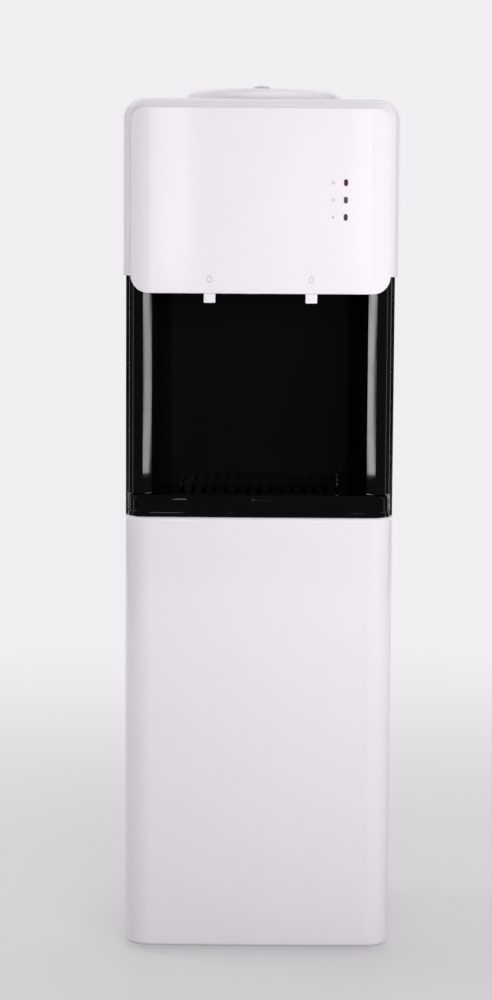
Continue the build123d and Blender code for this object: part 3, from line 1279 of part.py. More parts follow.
def condenser_wires():
    """Straight wires on both faces of the condenser tube."""
    reach = CONDENSER_TUBE + CONDENSER_WIRE + RUN
    low = CONDENSER_LOW - 3 * CONDENSER_TUBE
    high = CONDENSER_HIGH + 3 * CONDENSER_TUBE
    wires = []
    for step in range(CONDENSER_WIRES):
        x = (step - (CONDENSER_WIRES - 1) / 2) * WIRE_PITCH
        for y in (CONDENSER_Y - reach, CONDENSER_Y + reach):
            wires.append(rod((x, y, low), (x, y, high), CONDENSER_WIRE))
    return wires


def make_bracket(x, z, step):
    """Condenser bracket: foot on the rear panel and an arm with a hole for the tube."""
    half = BRACKET_WIDTH / 2
    tall = BRACKET_HEIGHT / 2
    arm = slab((x - half, x + half), (REAR_Y + RUN, CONDENSER_Y + CONDENSER_TUBE), (z - tall, z + tall))
    foot = sorted((z, z + step * 3 * tall))
    bracket = arm + slab((x - half, x + half), (REAR_Y + RUN, REAR_Y + RUN + 2 * STEEL), foot)
    bracket = fillet(bracket.edges().filter_by(Axis.X).group_by(Axis.Y)[-1], CONDENSER_TUBE / 2)
    bracket -= rod((x - FLANGE, CONDENSER_Y, z), (x + FLANGE, CONDENSER_Y, z), CONDENSER_TUBE + RUN)
    screw = z + step * BRACKET_HEIGHT
    return bracket - rod((x, REAR_Y, screw), (x, REAR_Y + FLANGE, screw), SCREW_RADIUS)


def make_switch_housing(x):
    """Snap-in switch housing with a round-bottomed well for its rocker."""
    flange = Pos(x, rocker_y(), SWITCH_Z) * Box(SWITCH_FLANGE[0], SWITCH_RIM, SWITCH_FLANGE[1])
    flange = fillet(flange.edges().filter_by(Axis.Y), SEAM)
    body = Pos(x, REAR_Y + SWITCH_RIM - SWITCH_DEPTH / 2, SWITCH_Z) * Box(
        SWITCH_BODY[0], SWITCH_DEPTH, SWITCH_BODY[1]
    )
    half = ROCKER_WIDTH / 2 + SEAT
    well = rod((x - half, rocker_y(), SWITCH_Z), (x + half, rocker_y(), SWITCH_Z), ROCKER_RADIUS + SEAT)
    return flange + body - well


def rocker_y():
    """Pivot of the rockers, behind the rim of the switch housing."""
    return REAR_Y + RUN + SWITCH_RIM / 2


def make_rocker(x):
    """Switch rocker with a shallow V face, tipped to its off side."""
    half = ROCKER_WIDTH / 2
    drum = rod((-half, 0, 0), (half, 0, 0), ROCKER_RADIUS)
    for side in (-1, 1):
        cut = Pos(0, ROCKER_RISE, 0) * Rot(-side * ROCKER_ANGLE, 0, 0)
        block = slab((-ROCKER_WIDTH, ROCKER_WIDTH), (0, WIDTH), sorted((0, side * WIDTH)))
        drum -= cut * block
    return Pos(x, rocker_y(), SWITCH_Z) * Rot(ROCKER_ANGLE, 0, 0) * drum


def make_gland():
    """Cord gland: grooved bush in the rear panel, bored for the supply cord."""
    edge = GLAND_RADIUS - SEAM - SEAT
    inner = -STEEL - SEAT
    profile = [
        (GLAND_BORE, inner - 4 * SEAM),
        (GLAND_RADIUS, inner - 4 * SEAM),
        (GLAND_RADIUS, inner),
        (edge, inner),
        (edge, SEAT),
        (GLAND_RADIUS + SEAM, SEAT),
        (GLAND_RADIUS, 5 * SEAM),
        (GLAND_BORE + 2 * SEAM, 8 * SEAM),
        (GLAND_BORE, 8 * SEAM),
    ]
    return Pos(GLAND_X, REAR_Y, GLAND_Z) * Rot(-90, 0, 0) * turned(profile)


save("base_tray", make_base())
save("feet", *[make_foot(x, y) for x, y in FOOT_PLACES])
save("left_side_panel", make_side(-1))
save("right_side_panel", make_side(1))
save("rear_panel", make_rear())
save(
    "rear_screws",
    *[rear_screw(x, REAR_Y + RUN, z) for x, z in SCREW_PLACES],
    *[rear_screw(x, REAR_Y + 2 * STEEL + 2 * RUN, z) for x, z in BRACKET_SCREWS],
)
save("lower_front_panel", make_lower_front())
save("bay_liner", make_liner())
save("head_front_panel", make_head_panel())
save("top_housing", make_housing())
save("bottle_seat", make_seat())
save("bottle_probe", make_probe())
save("tank_lid", make_lid())
save("cold_tank", make_tank())
save("separator_plate", make_baffle())
save("evaporator_coil", make_coil())
save("cold_tank_foam", make_foam())
save("tank_shelf", make_shelf())
save("drip_tray", make_tray())
save("drip_grille", make_grille())
for name, x, inlet in (("hot", -TAP_X, 180), ("cold", TAP_X, 90)):
    save(f"{name}_tap_body", make_tap_body(x, inlet))
    save(f"{name}_tap_bonnet", make_bonnet(x))
    save(f"{name}_tap_stem", make_stem(x))
    save(f"{name}_tap_seal", make_seal(x))
    save(f"{name}_tap_spring", make_spring(x))
    save(f"{name}_push_lever", make_lever(x))
    save(f"{name}_pivot_pin", make_pin(x))
for name, z in zip(("heating_lamp", "power_lamp", "cooling_lamp"), lamp_levels()):
    save(name, make_lamp(z))
save("indicator_board", make_board())
save("hot_tank", make_hot_tank())
save("heater_band", make_heater())
save("thermostats", *[make_thermostat(turn) for turn in THERMOSTAT_TURNS])
save("hot_tank_bracket", make_hot_bracket())
save("cold_hose", make_cold_hose())
save("hot_hose", make_hot_hose())
save("feed_hose", make_feed_hose())
save("drain_pipe", make_drain())
save("drain_cap", make_drain_cap())
save("compressor", make_compressor())
save("compressor_mounts", *[make_grommet(x, y) for x, y in BOLT_PLACES])
save("compressor_bolts", *[make_bolt(x, y) for x, y in BOLT_PLACES])
save("suction_line", make_suction())
save("discharge_line", make_discharge())
save("filter_drier", make_drier())
save("condenser_tube", make_condenser())
save("condenser_wires", *condenser_wires())
save("condenser_brackets", *[make_bracket(x, z, step) for x, z, step in BRACKET_PLACES])
save("switch_housings", *[make_switch_housing(x) for x in SWITCH_X])
save("heat_switch_rocker", make_rocker(SWITCH_X[0]))
save("cool_switch_rocker", make_rocker(SWITCH_X[1]))
save("cord_gland", make_gland())
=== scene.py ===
"""Looks of a floor-standing water dispenser: finishes, small pieces, printed marks and a studio."""

import math

import bpy
from bpy.props import FloatProperty, FloatVectorProperty, PointerProperty
from mathutils import Matrix, Vector


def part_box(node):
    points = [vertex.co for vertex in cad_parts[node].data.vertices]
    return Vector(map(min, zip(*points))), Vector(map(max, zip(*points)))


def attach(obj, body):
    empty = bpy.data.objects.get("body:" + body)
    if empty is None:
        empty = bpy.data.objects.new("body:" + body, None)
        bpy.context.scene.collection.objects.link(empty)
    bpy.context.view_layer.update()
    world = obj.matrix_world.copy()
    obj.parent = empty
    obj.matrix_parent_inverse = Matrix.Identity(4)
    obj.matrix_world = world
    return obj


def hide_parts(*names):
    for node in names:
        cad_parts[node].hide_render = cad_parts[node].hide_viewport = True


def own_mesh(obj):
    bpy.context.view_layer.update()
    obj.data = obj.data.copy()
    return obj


bl_info = {
    "name": "Water Dispenser Looks",
    "version": (1, 0, 0),
    "blender": (4, 5, 0),
    "location": "View3D > Sidebar > Dispenser",
    "description": "Finishes, small pieces, printed marks and studio for a floor-standing water dispenser",
    "category": "Object",
}

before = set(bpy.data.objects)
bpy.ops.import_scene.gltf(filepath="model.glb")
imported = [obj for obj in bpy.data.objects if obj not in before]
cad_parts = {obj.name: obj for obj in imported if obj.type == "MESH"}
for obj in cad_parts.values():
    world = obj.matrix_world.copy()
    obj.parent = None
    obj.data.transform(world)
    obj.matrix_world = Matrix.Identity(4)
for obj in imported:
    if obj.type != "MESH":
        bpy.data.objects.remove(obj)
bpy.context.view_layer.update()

HEAD_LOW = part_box("head_front_panel")[0]
BOW_RADIUS = 4.343  # plan radius of the bowed head panel
TAPS = ("hot", "cold")
LAMPS = ("heating_lamp", "power_lamp", "cooling_lamp")
SIDES = (("left", -1), ("right", 1))  # name and sign of x
SMOOTH_BELOW = math.radians(50)  # edges that turn by less are shaded smooth

# Black edging
EDGING_ROUND = 0.42  # rounding of its front edges, as a share of its width
EDGING_STEPS = 4

# Tap springs
SPRING_TURNS = 4
WIRE_SIDES = 12
STEPS_PER_TURN = 32

# Printed marks: counts, and shares of the mark's radius where no other unit is given
DROP_POINTS = 40
DROP_TOP = 0.999  # only the top point of the disc lies above this
DROP_PULL = 2.2  # reach of the pull that draws the top point out to a tip
BAR_POINTS = 16
BAR_PITCH = 2.2  # in line widths
BAR_REACH = 0.7
MIDDLE_BAR_STRETCH = 1.25  # against the outer bars
RING_POINTS = 32
RING_RADIUS = 0.9
STAR_ARMS = 6
STAR_TIP = 0.99  # points that reach less far along every arm lie between the arms
STAR_NOTCH = 0.42

# Studio floor and background
FLOOR_POINTS = 96
FLOOR_RADIUS = 14
FADE_NEAR = 0.25  # metres from the middle, where the floor starts to run out into the background
FADE_FAR = 2.2  # metres from the middle, past which it is all background
FADE_LEAST = 0.5  # share of background on the floor near the object
BACKGROUND_SEEN = 1.0  # strength of the background where it shows
BACKGROUND_LIT = 0.16  # strength of its light on the object

# Dark cards
CARD_GLOW = 0.04
CARD_HEIGHT = 3.1
CARD_MIDDLE = 1.45  # height of a card's middle above the floor
CARD_OUT = 2.6  # cards at the sides, from the middle

# Lamps
WATTS_PER_RADIANCE = 4  # for each square metre of a softbox
STRIP_FRONT = -2.36  # y of both strips, by the camera
STRIP_MIDDLE = 1.15  # height of a strip's middle above the floor
STRIP_HEIGHT = 0.8
SIDE_BOX_RADIANCE = {"left": 5.2, "right": 1.8}
BAY_LIGHT_RADIANCE = {"left": 8.2, "right": 6.2}
BAY_LIGHT_SHIFT = {"left": 0.005, "right": 0.002}  # sideways, to set where its stripe shows
BAY_LIGHT_OUT = 1.22
BAY_LIGHT_FRONT = -0.89
BAY_LIGHT_WIDTH = 0.0135
BAY_LIGHT_HEIGHT = 0.34
BAY_LIGHT_RADIUS = 3.2  # bow of the light
BAY_LIGHT_POINTS = 720  # on the whole circle that the light is a slice of
BAY_STRIP_OUT = 0.13  # black strip beside the bay that mirrors the light from across
BAY_STRIP_FRONT = -0.15
BAY_MIDDLE = 0.595  # height of the bay's middle above the floor

# Camera
CAMERA_PITCH = 5.65  # degrees below level
CAMERA_ROLL = 0.4  # degrees
CAMERA_LENS = 85.2  # millimetres
CAMERA_SENSOR = 36  # millimetres
CAMERA_SHIFT = -0.013  # share of the frame


def linear(hex_colour):
    """Linear RGB of an sRGB hex colour."""
    channels = [int(hex_colour[at:at + 2], 16) / 255 for at in (1, 3, 5)]
    return tuple(c / 12.92 if c <= 0.04045 else ((c + 0.055) / 1.055) ** 2.4 for c in channels)


def per_mm(size):
    """Texture scale for a pattern that repeats every so many millimetres."""
    return 1000.0 / size


def colour(name, description, hex_colour):
    """Colour property with its default written as sRGB hex."""
    return FloatVectorProperty(
        name=name, description=description, subtype="COLOR", min=0, max=1, default=linear(hex_colour)
    )


def length(name, description, default):
    """Length property in metres."""
    return FloatProperty(name=name, description=description, default=default, min=0, unit="LENGTH")


class DispenserColours(bpy.types.PropertyGroup):
    """Colours of the dispenser that a user may change"""

    white_covers: colour("White covers", "Gloss covers, bottle seat and push levers", "#F1ECF3")
    side_panels: colour("Side panels", "Powder coat of the steel side panels", "#E6E2E8")
    black_bay: colour("Black bay", "Bay liner, drip tray, grille and column edging", "#0B0B0D")
    black_trim: colour("Black trim", "Switches, drain cap and condenser brackets", "#131315")
    print_grey: colour("Printed marks", "Ink of the small marks on the head", "#B9B5BC")
    red_lens: colour("Heating lens", "Unlit red lens", "#6A343A")
    green_lens: colour("Power lens", "Unlit yellow-green lens", "#6E6F50")
    blue_lens: colour("Cooling lens", "Unlit blue lens", "#4F5A64")
    floor: colour("Floor", "Pale studio floor", "#ACA8AB")
    backdrop: colour("Backdrop", "Pale studio background", "#F0EEF1")


class DispenserSizes(bpy.types.PropertyGroup):
    """Sizes of the edging, the springs and the printed marks, and the place of the camera"""

    drop_width: length("Drop width", "Width of the drop mark over each tap", 0.0056)
    drop_height: length("Drop height", "Height of the drop mark over each tap", 0.0086)
    drop_rise: length("Drop rise", "Middle of the drop mark above the lower edge of the head", 0.0152)
    line: length("Line", "Line width of the printed marks", 0.0007)
    ink: length("Ink", "Height of the printed ink above the panel", 0.0002)
    lamp_mark: length("Lamp mark", "Size of the mark beside each lamp", 0.0042)
    lamp_mark_gap: length("Lamp mark gap", "Distance from a lamp to its mark", 0.0143)
    edging_depth: length("Edging depth", "Black edging along each column, front to back", 0.007)
    edging_gap: length("Edging gap", "Clearance of the edging from its neighbours", 0.0003)
    spring_wire: length("Spring wire", "Wire of the closing spring in each tap", 0.0014)
    camera_distance: length("Camera distance", "Camera in front of the origin", 2.865)
    camera_height: length("Camera height", "Camera above the floor", 0.801)


def node(tree, kind, sockets=None, **settings):
    """Add a node, set its properties, and fill or link its input sockets."""
    made = tree.nodes.new(kind)
    for key, value in settings.items():
        setattr(made, key, value)
    for key, value in (sockets or {}).items():
        if isinstance(value, bpy.types.NodeSocket):
            tree.links.new(value, made.inputs[key])
        else:
            made.inputs[key].default_value = value
    return made


def blank_tree(owner):
    """Emptied node tree of a material or a world."""
    owner.use_nodes = True
    owner.node_tree.nodes.clear()
    return owner.node_tree


def start_material(name, **sockets):
    """New Principled material: gives the material, its tree, the shader and Object coordinates."""
    material = bpy.data.materials.new(name)
    tree = blank_tree(material)
    shader = node(tree, "ShaderNodeBsdfPrincipled", {key.replace("_", " "): v for key, v in sockets.items()})
    node(tree, "ShaderNodeOutputMaterial", {"Surface": shader.outputs["BSDF"]})
    place = node(tree, "ShaderNodeTexCoord").outputs["Object"]
    return material, tree, shader, place


def mottle(tree, shader, place, tint, size, depth, rough, spread):
    """Slight clouds of colour and gloss, so many millimetres across, as on any moulded or painted surface."""
    clouds = node(
        tree, "ShaderNodeTexNoise", {"Vector": place, "Scale": per_mm(size), "Detail": 3.0, "Roughness": 0.6}
    )
    low = [c * (1 - depth) for c in tint]
    shade = node(
        tree,
        "ShaderNodeMix",
        {"Factor": clouds.outputs["Fac"], "A": (*low, 1), "B": (*tint, 1)},
        data_type="RGBA",
    )
    tree.links.new(shade.outputs["Result"], shader.inputs["Base Color"])
    gloss = node(
        tree,
        "ShaderNodeMapRange",
        {
            "Value": clouds.outputs["Fac"],
            "From Min": 0.3,
            "From Max": 0.7,
            "To Min": rough - spread,
            "To Max": rough + spread,
        },
    )
    tree.links.new(gloss.outputs["Result"], shader.inputs["Roughness"])


def grain(tree, shader, place, size, height, detail=2.0, stretch=(1, 1, 1)):
    """Fine relief: height and size in millimetres, stretched along an axis for drawn or brushed metal."""
    mapped = node(tree, "ShaderNodeMapping", {"Vector": place, "Scale": stretch}).outputs["Vector"]
    noise = node(tree, "ShaderNodeTexNoise", {"Vector": mapped, "Scale": per_mm(size), "Detail": detail})
    bump = node(
        tree, "ShaderNodeBump", {"Height": noise.outputs["Fac"], "Strength": 1.0, "Distance": height / 1000}
    )
    tree.links.new(bump.outputs["Normal"], shader.inputs["Normal"])


def gloss_white_abs(tint):
    """Injection-moulded ABS, polished tool."""
    # A clean white with a trace of lavender, a clear reflection and a very faint orange peel.
    material, tree, shader, place = start_material("gloss_white_abs", IOR=1.53)
    mottle(tree, shader, place, tint, size=90, depth=0.012, rough=0.09, spread=0.02)
    grain(tree, shader, place, size=7, height=0.004)
    return material


def gloss_black_abs(tint):
    """Injection-moulded ABS, mirror-polished tool."""
    # Deep black that shows only what it mirrors, with a breath of dust that dulls it in patches.
    material, tree, shader, place = start_material("gloss_black_abs", IOR=1.53)
    mottle(tree, shader, place, tint, size=45, depth=0.25, rough=0.03, spread=0.008)
    grain(tree, shader, place, size=12, height=0.001)
    return material


def grained_plastic(name, tint, rough):
    """Moulded plastic from a spark-eroded tool."""
    # Soft broken highlights from a fine leathery grain, drawn at 1.2 mm so that it shows.
    material, tree, shader, place = start_material(name, IOR=1.5)
    mottle(tree, shader, place, tint, size=30, depth=0.12, rough=rough, spread=0.06)
    grain(tree, shader, place, size=1.2, height=0.03)
    return material


def powder_coated_steel(tint):
    """Sheet steel with baked powder coat."""
    # Even satin white with a close pebble that breaks up the highlight, drawn at 1.6 mm so that it shows.
    material, tree, shader, place = start_material("powder_coated_steel", IOR=1.5)
    mottle(tree, shader, place, tint, size=120, depth=0.02, rough=0.36, spread=0.04)
    grain(tree, shader, place, size=1.6, height=0.02)
    return material


def galvanised_sheet():
    """Hot-dip galvanised steel sheet."""
    # Grey metal broken into frost-like crystals about 9 mm across, each with its own shade.
    material, tree, shader, place = start_material("galvanised_sheet", Metallic=1.0)
    crystals = node(tree, "ShaderNodeTexVoronoi", {"Vector": place, "Scale": per_mm(9), "Randomness": 1.0})
    shade = node(tree, "ShaderNodeSeparateColor", {"Color": crystals.outputs["Color"]}).outputs["Red"]
    tone = node(
        tree,
        "ShaderNodeMix",
        {"Factor": shade, "A": (*linear("#A7AAAD"), 1), "B": (*linear("#BFC2C4"), 1)},
        data_type="RGBA",
    )
    gloss = node(tree, "ShaderNodeMapRange", {"Value": shade, "To Min": 0.34, "To Max": 0.52})
    tree.links.new(tone.outputs["Result"], shader.inputs["Base Color"])
    tree.links.new(gloss.outputs["Result"], shader.inputs["Roughness"])
    return material


def drawn_metal(name, hex_colour, rough, stretch, tarnish):
    """Metal that was drawn, turned or plated."""
    # Soft streaks along the stretched way, or an even grain on plating, and a little tarnish in patches.
    material, tree, shader, place = start_material(name, Metallic=1.0)
    mottle(tree, shader, place, linear(hex_colour), size=25, depth=tarnish, rough=rough, spread=0.05)
    grain(tree, shader, place, size=1.5, height=0.01, detail=3.0, stretch=stretch)
    return material


def painted_metal(name, hex_colour, rough):
    """Steel dipped or sprayed in enamel."""
    # Dark even paint with slight runs of gloss.
    material, tree, shader, place = start_material(name, IOR=1.5)
    mottle(tree, shader, place, linear(hex_colour), size=20, depth=0.2, rough=rough, spread=0.07)
    grain(tree, shader, place, size=4, height=0.015)
    return material


def moulded_rubber():
    """Moulded EPDM rubber."""
    # Dull charcoal with a dusty bloom.
    material, tree, shader, place = start_material("moulded_rubber", IOR=1.5)
    mottle(tree, shader, place, linear("#1A1A1B"), size=12, depth=0.3, rough=0.78, spread=0.08)
    grain(tree, shader, place, size=1.0, height=0.03)
    return material


def milky_silicone():
    """Extruded silicone hose and moulded seals."""
    # Cloudy, see-through at thin edges, with a soft sheen.
    material, tree, shader, place = start_material("milky_silicone", IOR=1.41, Transmission_Weight=0.45)
    mottle(tree, shader, place, linear("#E6E9E8"), size=18, depth=0.06, rough=0.34, spread=0.05)
    return material


def food_polypropylene(name, hex_colour):
    """Moulded polypropylene for parts in contact with water."""
    # Waxy and slightly translucent, so light bleeds into the edges.
    material, tree, shader, place = start_material(
        name, IOR=1.49, Subsurface_Weight=0.15, Subsurface_Scale=0.004
    )
    mottle(tree, shader, place, linear(hex_colour), size=25, depth=0.05, rough=0.32, spread=0.05)
    grain(tree, shader, place, size=3, height=0.006)
    return material


def bead_foam():
    """Expanded polystyrene, steam moulded."""
    # Chalk white with pressed beads about 4 mm across.
    material, tree, shader, place = start_material("bead_foam", IOR=1.3, Roughness=0.8)
    beads = node(tree, "ShaderNodeTexVoronoi", {"Vector": place, "Scale": per_mm(4)})
    tone = node(
        tree,
        "ShaderNodeMix",
        {"Factor": beads.outputs["Distance"], "A": (*linear("#F2F2F0"), 1), "B": (*linear("#DADAD6"), 1)},
        data_type="RGBA",
    )
    bump = node(
        tree,
        "ShaderNodeBump",
        {"Height": beads.outputs["Distance"], "Strength": 1.0, "Distance": 0.0003},
        invert=True,
    )
    tree.links.new(tone.outputs["Result"], shader.inputs["Base Color"])
    tree.links.new(bump.outputs["Normal"], shader.inputs["Normal"])
    return material


def tinted_lens(name, tint):
    """Tinted acrylic lens over an unlit lamp."""
    # Dark and wet-looking, a little brighter in cloudy spots where the lamp chamber shows through.
    material, tree, shader, place = start_material(name, IOR=1.49, Transmission_Weight=0.25)
    mottle(tree, shader, place, tint, size=3, depth=0.35, rough=0.08, spread=0.03)
    return material


def circuit_board():
    """Glass-fibre board under green solder mask."""
    # Green lacquer over the faint ribs of glass cloth, about three in 9 mm so that they show.
    material, tree, shader, place = start_material("circuit_board", IOR=1.55)
    mottle(tree, shader, place, linear("#12502B"), size=8, depth=0.25, rough=0.4, spread=0.06)
    ribs = node(tree, "ShaderNodeTexWave", {"Vector": place, "Scale": per_mm(9), "Distortion": 0.5})
    bump = node(tree, "ShaderNodeBump", {"Height": ribs.outputs["Fac"], "Distance": 0.00003})
    tree.links.new(bump.outputs["Normal"], shader.inputs["Normal"])
    return material


def printed_ink(tint):
    """Pad-printed ink."""
    # Flat grey, a touch rough, with slightly thin patches as a pad leaves them.
    material, tree, shader, place = start_material("printed_ink", IOR=1.5)
    mottle(tree, shader, place, tint, size=0.9, depth=0.08, rough=0.5, spread=0.05)
    return material


def dress(material, *names):
    """Give CAD nodes a material."""
    for name in names:
        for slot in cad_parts[name].material_slots:
            slot.material = material


def pick(obj):
    """Make one object the only selected and active one."""
    bpy.ops.object.select_all(action="DESELECT")
    obj.select_set(True)
    bpy.context.view_layer.objects.active = obj


def select_points(obj, wanted):
    """Select the vertices that wanted(place) is true for, in edit mode."""
    bpy.ops.mesh.select_all(action="DESELECT")
    bpy.ops.object.mode_set(mode="OBJECT")
    for point in obj.data.vertices:
        point.select = wanted(point.co)
    bpy.ops.object.mode_set(mode="EDIT")


def start_disc(name, points, radius):
    """Flat disc at the origin, in edit mode and selected all over, its face up."""
    bpy.ops.object.select_all(action="DESELECT")
    bpy.ops.mesh.primitive_circle_add(vertices=points, radius=radius, fill_type="NGON")
    disc = bpy.context.object
    disc.name = name
    bpy.ops.object.mode_set(mode="EDIT")
    bpy.ops.mesh.select_mode(type="VERT")
    bpy.ops.mesh.select_all(action="SELECT")
    return disc


def hollow_out(line):
    """Leave only a ring of a disc's face, line wide."""
    bpy.ops.mesh.select_mode(type="FACE")
    bpy.ops.mesh.select_all(action="SELECT")
    bpy.ops.mesh.inset(thickness=line)
    bpy.ops.mesh.delete(type="FACE")
    bpy.ops.mesh.select_mode(type="VERT")


def place_mark(mark, x, z, ink, material):
    """Stand a flat mark on the bowed face of the head panel, give it thickness and let it ride."""
    bpy.ops.object.mode_set(mode="OBJECT")
    pick(mark)
    thick = mark.modifiers.new("ink", "SOLIDIFY")
    thick.thickness = 2 * ink
    thick.offset = 0
    bpy.ops.object.modifier_apply(modifier=thick.name)
    recess = BOW_RADIUS - math.sqrt(BOW_RADIUS**2 - x**2)
    mark.rotation_euler = (math.pi / 2, 0, math.asin(x / BOW_RADIUS))
    mark.location = (x, HEAD_LOW.y + recess, z)
    bpy.ops.object.transform_apply(location=True, rotation=True, scale=True)
    mark.data.materials.append(material)
    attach(mark, "cabinet")


def sizes():
    """Sizes set in the scene."""
    return bpy.context.scene.dispenser_sizes


def colours():
    """Colours set in the scene."""
    return bpy.context.scene.dispenser_colours


class DISPENSER_OT_white_covers(bpy.types.Operator):
    """Finish the white covers, the push levers and the side panels"""

    bl_idname = "dispenser.white_covers"
    bl_label = "White Covers"

    def execute(self, context):
        white = gloss_white_abs(colours().white_covers)
        dress(white, "head_front_panel", "lower_front_panel", "top_housing", "bottle_seat")
        dress(white, "hot_push_lever", "cold_push_lever")
        dress(powder_coated_steel(colours().side_panels), "left_side_panel", "right_side_panel")
        return {"FINISHED"}


class DISPENSER_OT_black_bay(bpy.types.Operator):
    """Finish the black bay, the drip tray and its grille"""

    bl_idname = "dispenser.black_bay"
    bl_label = "Black Bay"

    def execute(self, context):
        dress(gloss_black_abs(colours().black_bay), "bay_liner", "drip_tray")
        dress(grained_plastic("satin_black_abs", colours().black_bay, rough=0.26), "drip_grille")
        return {"FINISHED"}


class DISPENSER_OT_column_edges(bpy.types.Operator):
    """Model the black edging that closes the step between each column and its side panel"""

    bl_idname = "dispenser.column_edges"
    bl_label = "Column Edges"

    def execute(self, context):
        size = sizes()
        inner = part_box("bay_liner")[1].x + size.edging_gap
        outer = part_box("right_side_panel")[1].x - size.edging_gap
        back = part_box("right_side_panel")[0].y - size.edging_gap
        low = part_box("lower_front_panel")[1].z + 2 * size.edging_gap
        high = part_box("top_housing")[0].z - size.edging_gap
        middle = Vector((inner + outer, 2 * back - size.edging_depth, low + high)) / 2
        bpy.ops.object.select_all(action="DESELECT")
        bpy.ops.mesh.primitive_cube_add(
            size=1, location=middle, scale=(outer - inner, size.edging_depth, high - low)
        )
        bpy.ops.object.transform_apply(location=True, rotation=True, scale=True)
        edging = context.object
        edging.name = "right_column_edging"
        bpy.ops.object.mode_set(mode="EDIT")
        bpy.ops.mesh.select_mode(type="VERT")
        select_points(edging, lambda place: place.y < middle.y)
        bpy.ops.mesh.bevel(offset=EDGING_ROUND * (outer - inner), segments=EDGING_STEPS, affect="EDGES")
        bpy.ops.object.mode_set(mode="OBJECT")
        bpy.ops.object.shade_smooth_by_angle(angle=SMOOTH_BELOW)
        edging.data.materials.append(bpy.data.materials["gloss_black_abs"])
        bpy.ops.object.duplicate()
        twin = context.object
        twin.name = "left_column_edging"
        twin.location.x = -2 * middle.x
        bpy.ops.object.transform_apply(location=True, rotation=True, scale=True)
        for piece in (edging, twin):
            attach(piece, "cabinet")
        return {"FINISHED"}


class DISPENSER_OT_indicators(bpy.types.Operator):
    """Finish the three indicator lenses and their board"""

    bl_idname = "dispenser.indicators"
    bl_label = "Indicators"

    def execute(self, context):
        tints = (colours().red_lens, colours().green_lens, colours().blue_lens)
        for lamp, tint in zip(LAMPS, tints):
            dress(tinted_lens(lamp.replace("lamp", "lens"), tint), lamp)
        dress(circuit_board(), "indicator_board")
        return {"FINISHED"}


class DISPENSER_OT_taps(bpy.types.Operator):
    """Finish the parts of both taps"""

    bl_idname = "dispenser.taps"
    bl_label = "Taps"

    def execute(self, context):
        body = grained_plastic("grey_tap_nylon", linear("#5A5B5E"), rough=0.4)
        steel = drawn_metal("turned_stainless", "#B9B9B7", rough=0.26, stretch=(1, 1, 0.1), tarnish=0.05)
        seal = milky_silicone()
        for tap in TAPS:
            dress(body, f"{tap}_tap_body", f"{tap}_tap_bonnet")
            dress(steel, f"{tap}_tap_stem", f"{tap}_pivot_pin")
            dress(seal, f"{tap}_tap_seal")
        dress(seal, "cold_hose", "hot_hose", "feed_hose")
        return {"FINISHED"}


class DISPENSER_OT_tap_springs(bpy.types.Operator):
    """Model the round-wire closing spring of each tap, which rides with its valve"""

    bl_idname = "dispenser.tap_springs"
    bl_label = "Tap Springs"

    def execute(self, context):
        wire = sizes().spring_wire
        low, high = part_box("hot_tap_spring")
        ring = (high.x - low.x - wire) / 2
        bpy.ops.object.select_all(action="DESELECT")
        bpy.ops.mesh.primitive_circle_add(
            vertices=WIRE_SIDES, radius=wire / 2, location=(ring, 0, 0), rotation=(math.pi / 2, 0, 0)
        )
        bpy.ops.object.transform_apply(location=True, rotation=True, scale=True)
        spring = context.object
        spring.name = "hot_closing_spring"
        coil = spring.modifiers.new("coil", "SCREW")
        coil.iterations = SPRING_TURNS
        coil.screw_offset = (high.z - low.z - wire) / SPRING_TURNS
        coil.steps = STEPS_PER_TURN
        coil.render_steps = STEPS_PER_TURN
        bpy.ops.object.modifier_apply(modifier=coil.name)
        bpy.ops.object.mode_set(mode="EDIT")
        bpy.ops.mesh.select_all(action="SELECT")
        bpy.ops.mesh.fill_holes(sides=0)
        bpy.ops.mesh.normals_make_consistent(inside=False)
        bpy.ops.object.mode_set(mode="OBJECT")
        bpy.ops.object.shade_smooth_by_angle(angle=SMOOTH_BELOW)
        spring.data.materials.append(bpy.data.materials["turned_stainless"])
        bpy.ops.object.duplicate()
        twin = context.object
        twin.name = "cold_closing_spring"
        self.seat(spring, "hot", wire)
        self.seat(twin, "cold", wire)
        return {"FINISHED"}

    def seat(self, spring, tap, wire):
        """Stand a spring on its seal and let it ride with its valve."""
        low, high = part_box(f"{tap}_tap_spring")
        middle = (low + high) / 2
        pick(spring)
        spring.location = (middle.x, middle.y, low.z + wire / 2)
        bpy.ops.object.transform_apply(location=True, rotation=True, scale=True)
        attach(spring, f"{tap}_valve")
        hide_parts(f"{tap}_tap_spring")
        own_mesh(spring)


class DISPENSER_OT_tanks(bpy.types.Operator):
    """Finish the tanks, the bottle probe and what holds them"""

    bl_idname = "dispenser.tanks"
    bl_label = "Tanks"

    def execute(self, context):
        dress(food_polypropylene("pale_blue_polypropylene", "#D3D5DB"), "bottle_probe")
        dress(food_polypropylene("natural_polypropylene", "#DDDFDC"), "tank_lid", "separator_plate")
        steel = drawn_metal("deep_drawn_stainless", "#BDBDBB", rough=0.3, stretch=(1, 1, 0.08), tarnish=0.05)
        dress(steel, "cold_tank", "hot_tank")
        band = drawn_metal("heater_mica_band", "#9A958C", rough=0.45, stretch=(0.1, 1, 1), tarnish=0.12)
        dress(band, "heater_band")
        dress(grained_plastic("brown_phenolic", linear("#3B2417"), rough=0.4), "thermostats")
        dress(bead_foam(), "cold_tank_foam")
        dress(galvanised_sheet(), "tank_shelf", "hot_tank_bracket", "rear_panel")
        return {"FINISHED"}


